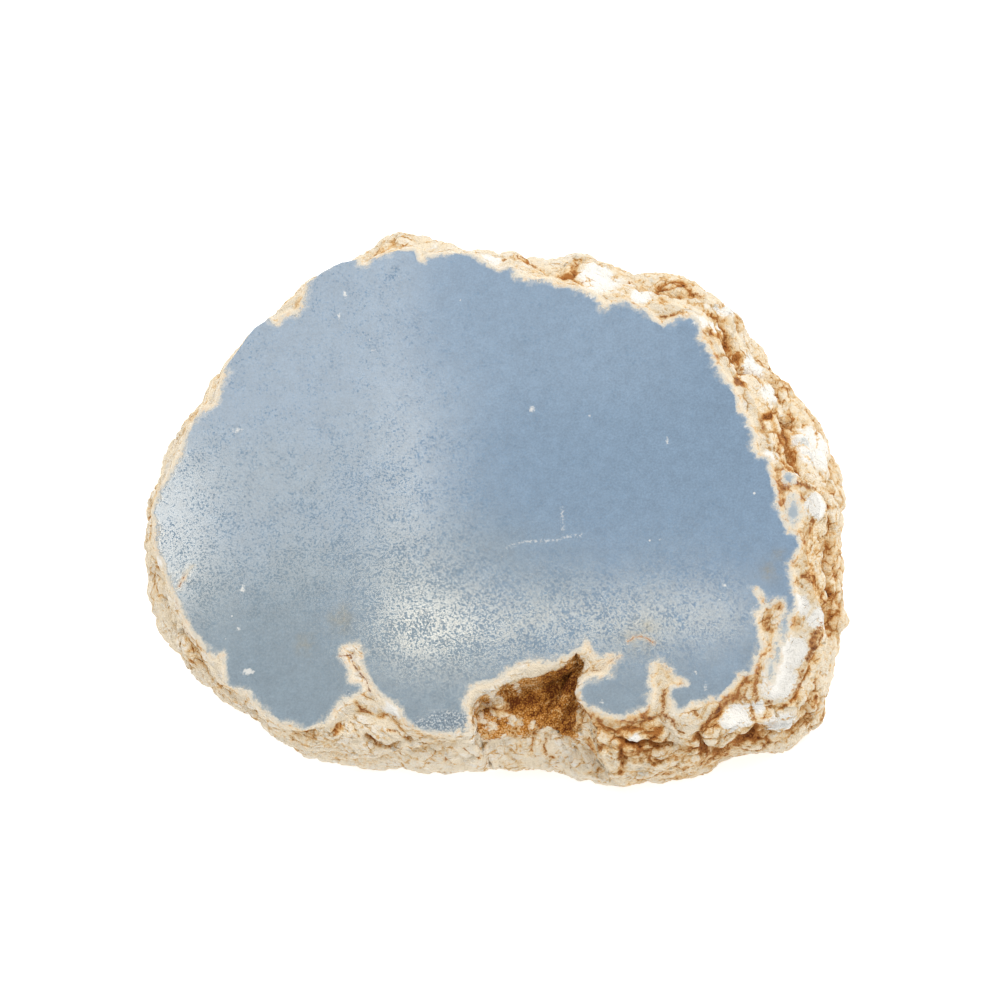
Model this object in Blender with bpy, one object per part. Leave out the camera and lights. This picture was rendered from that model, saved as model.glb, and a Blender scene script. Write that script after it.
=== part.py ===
"""Angelite slice: a slab sawn from a nodule of blue anhydrite, polished on top and still wearing its rough rind.

The slab lies on its sawn back. +Z is up, out of the polished face, +X runs along its length, and the
origin is on the sawn back, below the middle of the slab's box. Lengths are in millimetres until the
mesh is made, and Blender's metres after that.

The side wall is a grid of columns round the slab and rows down it. Each column starts on the edge of the
polished face, swells to the slab's waist and tucks in again to the sawn back. At the vug, a natural
hollow that opens through the edge of the polished face, a column first drops down the hollow's wall and
runs out over its floor before it joins the outside.
"""

import math

import bmesh
import bpy
import numpy as np

MM = 0.001

# The slab
THICKNESS = 24.0
WAIST_DEPTH = 12.0  # depth below the polished face where the rind stands out furthest
BACK_TUCK = 2.5  # how far the sawn back's outline lies inside the waist

# The edge of the polished face, seen from above, anticlockwise from the right lip of the vug to its left lip.
FACE_EDGE = (
    (19.4, -45.5),
    (24.0, -47.4),
    (28.5, -46.8),
    (32.0, -45.6),
    (36.3, -48.2),
    (40.0, -47.8),
    (45.0, -43.8),
    (51.0, -44.2),
    (56.0, -43.5),
    (58.5, -40.5),
    (59.8, -36.5),
    (62.8, -31.5),
    (63.2, -27.5),
    (61.0, -22.5),
    (59.9, -17.0),
    (60.5, -12.5),
    (62.8, -7.0),
    (61.5, -3.0),
    (56.5, 0.5),
    (54.5, 5.0),
    (53.0, 9.5),
    (51.0, 14.5),
    (46.5, 22.0),
    (43.0, 29.0),
    (41.0, 33.0),
    (36.0, 34.5),
    (28.0, 36.0),
    (22.5, 37.7),
    (14.0, 41.3),
    (4.0, 44.5),
    (-2.0, 47.3),
    (-8.5, 48.2),
    (-14.0, 49.7),
    (-20.0, 48.6),
    (-28.0, 47.8),
    (-33.0, 45.0),
    (-38.0, 40.5),
    (-45.0, 35.0),
    (-50.5, 27.0),
    (-54.0, 20.8),
    (-58.9, 14.2),
    (-62.0, 8.5),
    (-64.0, 0.0),
    (-64.0, -6.0),
    (-62.3, -12.2),
    (-59.5, -18.2),
    (-57.0, -24.7),
    (-53.0, -30.0),
    (-49.0, -35.5),
    (-44.0, -39.3),
    (-38.5, -43.9),
    (-34.0, -45.2),
    (-29.0, -43.8),
    (-25.0, -42.0),
    (-19.0, -42.3),
    (-15.2, -45.4),
    (-9.0, -47.3),
    (-2.1, -47.2),
)

# The slab's widest outline, as degrees anticlockwise from +X and radius.
WAIST = (
    (0, 65.8),
    (12, 62.7),
    (24, 58.3),
    (36, 58.9),
    (46, 58.2),
    (60, 53.2),
    (70, 53.8),
    (78, 50.2),
    (88, 50.5),
    (96, 52.8),
    (108, 59.8),
    (116, 58.9),
    (126, 59.0),
    (136, 57.8),
    (146, 60.4),
    (156, 61.8),
    (168, 65.8),
    (180, 68.0),
    (190, 67.4),
    (198, 68.0),
    (210, 64.2),
    (218, 60.6),
    (230, 59.0),
    (240, 56.1),
    (250, 52.0),
    (262, 50.4),
    (276, 49.9),
    (283, 52.2),
    (290, 57.4),
    (300, 61.6),
    (312, 66.9),
    (318, 72.3),
    (324, 74.4),
    (332, 71.4),
    (342, 68.2),
    (352, 65.6),
)

# The vug: its rim on the polished face from the left lip to the right lip, as x, y and how deep the wall
# below that point goes.
VUG_RIM = (
    (-2.6, -44.3, 3.5),
    (-2.6, -41.6, 4.5),
    (-1.0, -39.5, 5.0),
    (2.0, -38.8, 5.5),
    (5.0, -37.5, 6.0),
    (8.5, -36.7, 7.0),
    (12.0, -35.7, 8.0),
    (14.8, -34.4, 7.0),
    (16.2, -32.4, 4.0),
    (18.6, -32.8, 4.0),
    (18.5, -35.2, 6.0),
    (17.0, -38.0, 7.5),
    (16.5, -40.5, 8.0),
    (17.6, -43.2, 6.5),
)
VUG_LIP_DEPTH = 8.5  # depth at which the vug's floor runs out through the side of the slab
VUG_LIP_INSET = 0.2  # how far inside the slab's edge that lip lies, as a share of the vug's width there
VUG_WALL_FOOT = 0.36  # share of a column's rows spent on the vug's wall
VUG_LIP = 0.62  # share of a column's rows at which it leaves the vug
VUG_GATHER = 0.12  # how far the floor's runs outward are drawn to its middle, as a share of its width
VUG_BLEND = 4.0  # a column this far inside the slab's edge belongs to the vug altogether
VUG_RELIEF = 0.35  # share of the rind's relief on the vug's floor, where it stands straight up

# Lumps of the rind: the spacing of each set of domes along the slab and down it, and how far they stand out
LUMP_SPACING = (8.0, 5.5)
LUMP_HEIGHT = 2.3
SMALL_LUMP_SPACING = (3.8, 3.0)
SMALL_LUMP_HEIGHT = 0.8
EDGE_SHARE = 0.25  # share of the relief left where a cut face trims it
EDGE_FADE = 2.5  # depth over which the relief reaches its full height

# Larger knobs: degrees anticlockwise from +X, depth below the polished face, radius and height.
KNOBS = (
    (6, 6.0, 4.5, 1.3),
    (18, 2.8, 3.6, 0.9),
    (36, 6.0, 4.2, 1.1),
    (46, 6.5, 3.4, 1.0),
    (67, 5.5, 5.5, 1.2),
    (84, 5.0, 3.8, 0.9),
    (99, 3.5, 3.6, 0.9),
    (109, 4.5, 5.0, 1.0),
    (150, 12.0, 5.5, 1.2),
    (194, 7.0, 4.0, 1.0),
    (233, 6.5, 5.0, 1.0),
    (255, 12.0, 6.0, 1.0),
    (291, 8.0, 5.0, 1.2),
    (298, 2.4, 2.6, 0.9),
    (303, 3.6, 3.0, 0.8),
    (316, 2.2, 4.6, 1.4),
    (320, 7.0, 4.4, 1.4),
    (338, 11.0, 3.2, 1.5),
    (357, 10.5, 3.4, 1.4),
)

# Furrows between the lumps: runs of degrees anticlockwise from +X and depth below the polished face.
FURROWS = (
    ((54, 3.6), (48, 2.8), (41, 3.8), (36, 3.4), (31, 2.0), (26, 1.8)),
    ((24, 1.5), (23, 3.8), (19, 4.6), (15, 4.2)),
    ((11, 4.0), (7, 3.0), (2, 2.4), (358, 1.8)),
    ((356, 3.0), (353, 5.0), (350, 7.2), (343, 6.8), (338, 6.4), (334, 7.4), (330, 6.8)),
    ((297, 1.2), (299, 2.8), (301, 3.2), (304, 5.6)),
    ((309, 1.8), (309, 6.0), (310, 10.5), (314, 7.0), (318, 4.6)),
    ((244, 3.8), (249, 5.6), (253, 2.8)),
    ((205, 1.6), (212, 4.4), (219, 6.0)),
)
FURROW_DEPTH = 1.3
FURROW_WIDTH = 1.5

# The mesh
COLUMNS = 216
ROWS = 20
TRACE_STEPS = 4096
ROUNDING = 2.0  # length over which the outline's corners are rounded

# Where the middle of the slab's box lies in the outline's coordinates
BOX_MIDDLE = (-0.9, 1.3)


def eased(share):
    """0 to 1 with a soft start and end."""
    share = np.clip(share, 0.0, 1.0)
    return share * share * (3.0 - 2.0 * share)


def unpredictable(cell, seed):
    """A fixed number from 0 to 1 for each whole-number cell (x, y, z), which looks random."""
    mixed = cell.astype(np.int64) * np.array((73856093, 19349663, 83492791))
    mixed = (mixed[..., 0] ^ mixed[..., 1] ^ mixed[..., 2]) + seed * 1013904223
    mixed = ((mixed >> 13) ^ mixed) * 60493
    mixed = ((mixed >> 11) ^ mixed) * 19990303
    return ((mixed >> 7) & 0xFFFFF) / float(0xFFFFF)


def smooth_noise(places, spacing, seed):
    """Soft noise from -1 to 1: random values on a lattice of that spacing, blended by their eased distances."""
    scaled = places / spacing
    corner = np.floor(scaled)
    share = eased(scaled - corner)
    total = np.zeros(places.shape[:-1])
    for offset in np.ndindex(2, 2, 2):
        weight = np.prod(np.where(np.array(offset) == 1, share, 1.0 - share), axis=-1)
        total += weight * unpredictable(corner + np.array(offset), seed)
    return total * 2.0 - 1.0


def domes(places, spacing, seed):
    """Rounded lumps round random seeds, one seed in each cell: 1 on their tops, lower in the creases between."""
    along, down = spacing
    scaled = places / np.array((along, along, down))
    corner = np.floor(scaled)
    nearest = np.ones(places.shape[:-1])
    for offset in np.ndindex(3, 3, 3):
        cell = corner + np.array(offset) - 1.0
        jitter = np.stack([unpredictable(cell, seed + axis) for axis in (1, 2, 3)], axis=-1)
        nearest = np.minimum(nearest, np.linalg.norm(cell + jitter - scaled, axis=-1))
    return 1.0 - nearest**2


def apart(places, degrees, depth):
    """How far places lie from a spot on the side wall: along the slab's outline, and down it."""
    turn = np.arctan2(places[..., 1], places[..., 0]) - math.radians(degrees)
    turn = (turn + math.pi) % (2.0 * math.pi) - math.pi
    along = turn * np.hypot(places[..., 0], places[..., 1])
    return along, THICKNESS - depth - places[..., 2]


def knob_relief(places):
    """The larger knobs, each a rounded rise that ends at its radius."""
    total = np.zeros(places.shape[:-1])
    for degrees, depth, radius, height in KNOBS:
        along, down = apart(places, degrees, depth)
        total += height * np.clip(1.0 - (along**2 + down**2) / radius**2, 0.0, 1.0) ** 1.5
    return total


def furrow_relief(places):
    """The furrows, each a valley along straight stretches from one of its spots to the next."""
    nearest = np.full(places.shape[:-1], 99.0)
    for run in FURROWS:
        for start, end in zip(run, run[1:]):
            along, down = apart(places, *start)
            end_along, end_down = apart(places, *end)
            step = np.stack([along - end_along, down - end_down], axis=-1)
            here = np.stack([along, down], axis=-1)
            share = np.clip((here * step).sum(-1) / np.maximum((step**2).sum(-1), 1e-9), 0.0, 1.0)
            nearest = np.minimum(nearest, np.linalg.norm(here - share[..., None] * step, axis=-1))
    return -FURROW_DEPTH * (1.0 - eased(nearest / FURROW_WIDTH))


def relief(places):
    """How far the rind stands out from its smooth form, lumps upon lumps, bent by soft noise."""
    bend = np.stack([smooth_noise(places, 9.0, seed) for seed in (11, 12, 13)], axis=-1)
    bent = places + 1.6 * bend
    large = domes(bent, LUMP_SPACING, 21) - 0.7
    small = domes(bent, SMALL_LUMP_SPACING, 31) - 0.7
    lumps = LUMP_HEIGHT * large + SMALL_LUMP_HEIGHT * small
    return lumps + knob_relief(places) + furrow_relief(places)


def rounded(line, run):
    """A closed line of points with its corners rounded, by a running mean over that many points."""
    weights = np.hanning(run + 2)
    weights /= weights.sum()
    padded = np.concatenate([line[-run:], line, line[:run]])
    means = [np.convolve(column, weights, "same") for column in padded.T]
    return np.stack(means, axis=-1)[run:-run]


def evenly_spaced(line, count):
    """That many points along a closed line, at steps that are even in its first two coordinates."""
    closed = np.concatenate([line, line[:1]])
    steps = np.linalg.norm(np.diff(closed[:, :2], axis=0), axis=-1)
    along = np.concatenate([[0.0], np.cumsum(steps)])
    wanted = np.linspace(0.0, along[-1], count, endpoint=False)
    return np.stack([np.interp(wanted, along, column) for column in closed.T], axis=-1)


def outlines():
    """The columns' tops: the face's edge with the vug bitten out, the edge straight past it, and wall depths."""
    left, right = np.array(FACE_EDGE[-1]), np.array(FACE_EDGE[0])
    share = np.arange(1, len(VUG_RIM) + 1) / (len(VUG_RIM) + 1)
    share = share + VUG_GATHER * np.sin(2.0 * math.pi * share)
    past = left + share[:, None] * (right - left)
    rim = np.array(FACE_EDGE + tuple(spot[:2] for spot in VUG_RIM))
    outside = np.concatenate([FACE_EDGE, past])
    wall = np.concatenate([np.zeros(len(FACE_EDGE)), [spot[2] for spot in VUG_RIM]])
    corners = np.concatenate([rim, outside, wall[:, None]], axis=-1)
    fine = evenly_spaced(corners, TRACE_STEPS)
    run = round(ROUNDING / np.linalg.norm(np.diff(rim, axis=0), axis=-1).sum() * TRACE_STEPS)
    columns = evenly_spaced(rounded(fine, run), COLUMNS)
    return columns[:, :2], columns[:, 2:4], columns[:, 4:]


def waist_points(outside):
    """The widest outline's points, each in line with the centre and its point of the face's edge."""
    angle = np.arctan2(outside[:, 1], outside[:, 0])
    degrees, radius = np.array(WAIST).T
    reach = np.interp(np.degrees(angle), degrees, radius, period=360.0)
    return np.stack([reach * np.cos(angle), reach * np.sin(angle)], axis=-1)


def bare_side():
    """The side wall without its relief, as columns, rows and x, y, z, and how far each place is in the vug."""
    rim, outside, wall = outlines()
    waist = waist_points(outside)
    row = np.linspace(0.0, 1.0, ROWS + 1)[None, :]
    inset = np.linalg.norm(rim - outside, axis=-1)
    in_vug = eased(inset / VUG_BLEND)[:, None]

    wall_row = np.clip(row / VUG_WALL_FOOT, 0.0, 1.0)
    floor_row = np.clip((row - VUG_WALL_FOOT) / (VUG_LIP - VUG_WALL_FOOT), 0.0, 1.0)
    lower_row = np.clip((row - VUG_LIP) / (1.0 - VUG_LIP), 0.0, 1.0)
    vug_depth = wall * wall_row + (VUG_LIP_DEPTH - wall) * floor_row
    vug_depth = vug_depth + (THICKNESS - VUG_LIP_DEPTH) * lower_row
    depth = THICKNESS * row * (1.0 - in_vug) + vug_depth * in_vug

    swell = np.sin(0.5 * math.pi * np.clip(depth / WAIST_DEPTH, 0.0, 1.0))
    tuck = np.clip((depth - WAIST_DEPTH) / (THICKNESS - WAIST_DEPTH), 0.0, 1.0) ** 2
    outward = outside / np.linalg.norm(outside, axis=-1, keepdims=True)
    reached = (waist - outside)[:, None, :] * swell[..., None]
    reached = reached - outward[:, None, :] * (BACK_TUCK * tuck)[..., None]

    held = 1.0 - (1.0 - VUG_LIP_INSET) * eased(floor_row) - VUG_LIP_INSET * eased(2.0 * lower_row)
    held = held[..., None]
    swelled = 1.0 - in_vug[..., None] * (1.0 - eased(2.0 * lower_row))[..., None]
    flat = outside[:, None, :] + (rim - outside)[:, None, :] * held + reached * swelled
    return np.concatenate([flat, (THICKNESS - depth)[..., None]], axis=-1), in_vug * (1.0 - lower_row)


def outward_directions(side):
    """Unit directions square to the side wall, from the steps to each point's neighbours."""
    around = np.roll(side, -1, axis=0) - np.roll(side, 1, axis=0)
    down = np.gradient(side, axis=1)
    square = np.cross(down, around)
    return square / np.maximum(np.linalg.norm(square, axis=-1, keepdims=True), 1e-9)


def rough_side():
    """The side wall with its lumps. The cut faces trim them, so their own rows only move sideways."""
    side, in_vug = bare_side()
    depth = THICKNESS - side[..., 2]
    near_cut = np.minimum(depth, THICKNESS - depth)
    height = relief(side) * (EDGE_SHARE + (1.0 - EDGE_SHARE) * eased(near_cut / EDGE_FADE))
    height = height * (1.0 - (1.0 - VUG_RELIEF) * in_vug)
    upward = np.array((0.0, 0.0, 1.0)) * in_vug[..., None]
    moved = side + (upward + outward_directions(side) * (1.0 - in_vug[..., None])) * height[..., None]
    moved[..., 2] = np.clip(moved[..., 2], 0.05, THICKNESS - 0.05)
    moved[:, 0, 2] = THICKNESS
    moved[:, -1, 2] = 0.0
    return moved


def material(name, colour, roughness):
    """A Principled material of that name, base colour and roughness."""
    made = bpy.data.materials.new(name)
    made.use_nodes = True
    shader = made.node_tree.nodes["Principled BSDF"]
    shader.inputs["Base Color"].default_value = (*colour, 1.0)
    shader.inputs["Roughness"].default_value = roughness
    return made


def make_slice():
    """The slab as one closed mesh: the rough side wall, and a flat face over each end of it."""
    side = rough_side()
    side[..., :2] -= np.array(BOX_MIDDLE)
    mesh = bmesh.new()
    points = [[mesh.verts.new(place) for place in column] for column in side * MM]
    for near, far in zip(points, points[1:] + points[:1]):
        for row in range(ROWS):
            wall = mesh.faces.new((near[row], near[row + 1], far[row + 1], far[row]))
            wall.smooth = True
            wall.material_index = 1
    polished = mesh.faces.new([column[0] for column in points])
    polished.material_index = 0
    sawn = mesh.faces.new([column[-1] for column in reversed(points)])
    sawn.material_index = 2
    bmesh.ops.recalc_face_normals(mesh, faces=mesh.faces)
    bmesh.ops.triangulate(mesh, faces=[polished, sawn])

    data = bpy.data.meshes.new("angelite_slice")
    mesh.to_mesh(data)
    mesh.free()
    data.materials.append(material("polished_angelite", (0.27, 0.36, 0.48), 0.25))
    data.materials.append(material("weathered_rind", (0.72, 0.58, 0.42), 0.85))
    data.materials.append(material("sawn_angelite", (0.42, 0.50, 0.57), 0.7))
    slab = bpy.data.objects.new("angelite_slice", data)
    bpy.context.scene.collection.objects.link(slab)
    return slab


for leftover in list(bpy.data.objects):
    bpy.data.objects.remove(leftover)
make_slice()
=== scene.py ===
"""The looks of the angelite slice: a polished slab of blue anhydrite with its rough gypsum rind, lying on its back.

The slab's outline is measured in millimetres from a centre of its own, with +X along its length and +Y
away from the side with the hollow (the vug). The meshes are moved from there to the frame's origin,
which lies under the middle of the slab's box.
"""

import logging
import math
from dataclasses import dataclass
from enum import IntEnum

import bpy
import numpy as np
from mathutils import Matrix, Vector
from mathutils.geometry import delaunay_2d_cdt


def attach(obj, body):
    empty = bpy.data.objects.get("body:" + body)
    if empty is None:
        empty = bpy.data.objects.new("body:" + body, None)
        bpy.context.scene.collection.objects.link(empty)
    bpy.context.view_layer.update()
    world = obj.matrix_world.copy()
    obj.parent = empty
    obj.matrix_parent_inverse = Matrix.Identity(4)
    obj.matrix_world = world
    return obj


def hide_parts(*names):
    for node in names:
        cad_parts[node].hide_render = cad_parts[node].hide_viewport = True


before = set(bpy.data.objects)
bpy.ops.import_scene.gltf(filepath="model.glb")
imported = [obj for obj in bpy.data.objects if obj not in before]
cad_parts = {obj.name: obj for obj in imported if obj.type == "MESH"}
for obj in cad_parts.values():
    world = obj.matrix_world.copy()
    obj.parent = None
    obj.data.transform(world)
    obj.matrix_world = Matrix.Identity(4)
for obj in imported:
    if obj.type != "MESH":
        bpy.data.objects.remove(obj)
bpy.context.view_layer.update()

LOG = logging.getLogger("angelite_slice")
MM = 0.001
UP = np.array((0.0, 0.0, 1.0))

Spot = tuple[float, float]
Run = tuple[Spot, ...]
Patch = tuple[float, float, float, float]
Array = np.ndarray

# The rind's grain is drawn out along the slab's edge: across it, the pattern is squeezed by this much round
# a circle of this radius in millimetres.
SQUEEZE = 1.6
RIM_RADIUS = 58.0


class Cut(IntEnum):
    """The three kinds of surface on the slab, in the order of its material slots."""

    POLISHED = 0
    RIND = 1
    SAWN = 2


# The edge of the polished face, anticlockwise from the right lip of the vug to its left lip.
FACE_EDGE: Run = (
    (19.4, -45.5), (24.0, -47.4), (28.5, -46.8), (32.0, -45.6), (36.3, -48.2), (40.0, -47.8),
    (45.0, -43.8), (51.0, -44.2), (56.0, -43.5), (58.5, -40.5), (59.8, -36.5), (62.8, -31.5),
    (63.2, -27.5), (61.0, -22.5), (59.9, -17.0), (60.5, -12.5), (62.8, -7.0), (61.5, -3.0),
    (56.5, 0.5), (54.5, 5.0), (53.0, 9.5), (51.0, 14.5), (46.5, 22.0), (43.0, 29.0), (41.0, 33.0),
    (36.0, 34.5), (28.0, 36.0), (22.5, 37.7), (14.0, 41.3), (4.0, 44.5), (-2.0, 47.3), (-8.5, 48.2),
    (-14.0, 49.7), (-20.0, 48.6), (-28.0, 47.8), (-33.0, 45.0), (-38.0, 40.5), (-45.0, 35.0),
    (-50.5, 27.0), (-54.0, 20.8), (-58.9, 14.2), (-62.0, 8.5), (-64.0, 0.0), (-64.0, -6.0),
    (-62.3, -12.2), (-59.5, -18.2), (-57.0, -24.7), (-53.0, -30.0), (-49.0, -35.5), (-44.0, -39.3),
    (-38.5, -43.9), (-34.0, -45.2), (-29.0, -43.8), (-25.0, -42.0), (-19.0, -42.3), (-15.2, -45.4),
    (-9.0, -47.3), (-2.1, -47.2),
)

# The slab's widest outline, as degrees anticlockwise from +X and radius.
WAIST: Run = (
    (0, 65.8), (12, 62.7), (24, 58.3), (36, 58.9), (46, 58.2), (60, 53.2), (70, 53.8), (78, 50.2),
    (88, 50.5), (96, 52.8), (108, 59.8), (116, 58.9), (126, 59.0), (136, 57.8), (146, 60.4),
    (156, 61.8), (168, 65.8), (180, 68.0), (190, 67.4), (198, 68.0), (210, 64.2), (218, 60.6),
    (230, 59.0), (240, 56.1), (250, 52.0), (262, 50.4), (276, 49.9), (283, 52.2), (290, 57.4),
    (300, 61.6), (312, 66.9), (318, 72.3), (324, 74.4), (332, 71.4), (342, 68.2), (352, 65.6),
)

# The vug's rim from its left lip to its right lip, as x, y and how deep the wall below that point goes.
VUG_RIM: tuple[tuple[float, float, float], ...] = (
    (-2.5, -43.5, 3.5), (-2.1, -41.7, 4.5), (-1.0, -40.4, 5.0), (0.7, -39.5, 5.0), (3.1, -38.9, 5.5),
    (4.1, -37.8, 5.5), (6.0, -37.1, 6.0), (8.9, -37.0, 6.5), (12.4, -35.7, 8.0), (15.0, -35.2, 8.0),
    (16.3, -34.0, 5.0), (17.5, -32.4, 4.0), (18.8, -34.8, 5.0), (17.4, -37.0, 7.5), (16.8, -39.4, 7.5),
    (17.2, -41.2, 5.0), (18.5, -43.2, 2.0),
)

# Where the vug's floor would meet the face's level at its right end, left of the right lip.
VUG_RIGHT_FOOT: Spot = (15.6, -47.8)

# Cream knobs on the vug's floor: x, y, radius and height.
VUG_KNOBS: tuple[tuple[float, float, float, float], ...] = (
    (1.9, -41.0, 2.4, 1.7), (4.7, -43.2, 2.0, 1.3), (8.0, -44.2, 1.7, 0.7), (5.7, -38.2, 1.5, 0.8),
    (0.4, -44.8, 1.8, 0.8), (2.9, -46.0, 1.6, 0.7), (11.2, -45.4, 1.4, 0.6),
)

# Spots of painted shadow in the vug's darkest recesses: x, y and radius. They raise the crease value there, which
# darkens the vug's lining.
VUG_PAINTED_SHADE: tuple[tuple[float, float, float], ...] = (
    (14.8, -36.8, 3.4), (4.4, -40.0, 2.2), (7.6, -39.6, 2.4), (11.6, -37.6, 2.6), (15.2, -41.5, 1.6),
)

# Larger knobs of the rind: degrees anticlockwise from +X, depth below the polished face, radius and height.
KNOBS: tuple[tuple[float, float, float, float], ...] = (
    (6, 6.0, 4.5, 1.3), (18, 2.8, 3.6, 0.9), (36, 6.0, 4.2, 1.1), (46, 6.5, 3.4, 1.0),
    (67, 5.5, 5.5, 1.2), (84, 5.0, 3.8, 0.9), (99, 3.5, 3.6, 0.9), (109, 4.5, 5.0, 1.0),
    (150, 12.0, 5.5, 1.2), (194, 7.0, 4.0, 1.0), (233, 6.5, 5.0, 1.0), (255, 12.0, 6.0, 1.0),
    (291, 8.0, 5.0, 1.2), (298, 2.4, 2.6, 0.9), (303, 3.6, 3.0, 0.8), (316, 2.2, 4.6, 1.4),
    (320, 7.0, 4.4, 1.4), (338, 11.0, 3.2, 1.5), (357, 10.5, 3.4, 1.4),
)

# Furrows between the lumps: runs of degrees anticlockwise from +X and depth below the polished face.
FURROWS: tuple[Run, ...] = (
    ((54, 3.6), (48, 2.8), (41, 3.8), (36, 3.4), (31, 2.0), (26, 1.8)),
    ((24, 1.5), (23, 3.8), (19, 4.6), (15, 4.2)),
    ((11, 4.0), (7, 3.0), (2, 2.4), (358, 1.8)),
    ((356, 3.0), (353, 5.0), (350, 7.2), (343, 6.8), (338, 6.4), (334, 7.4), (330, 6.8)),
    ((297, 1.2), (299, 2.8), (301, 3.2), (304, 5.6)),
    ((309, 1.8), (309, 6.0), (310, 10.5), (314, 7.0), (318, 4.6)),
    ((244, 3.8), (249, 5.6), (253, 2.8)),
    ((205, 1.6), (212, 4.4), (219, 6.0)),
)

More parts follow.
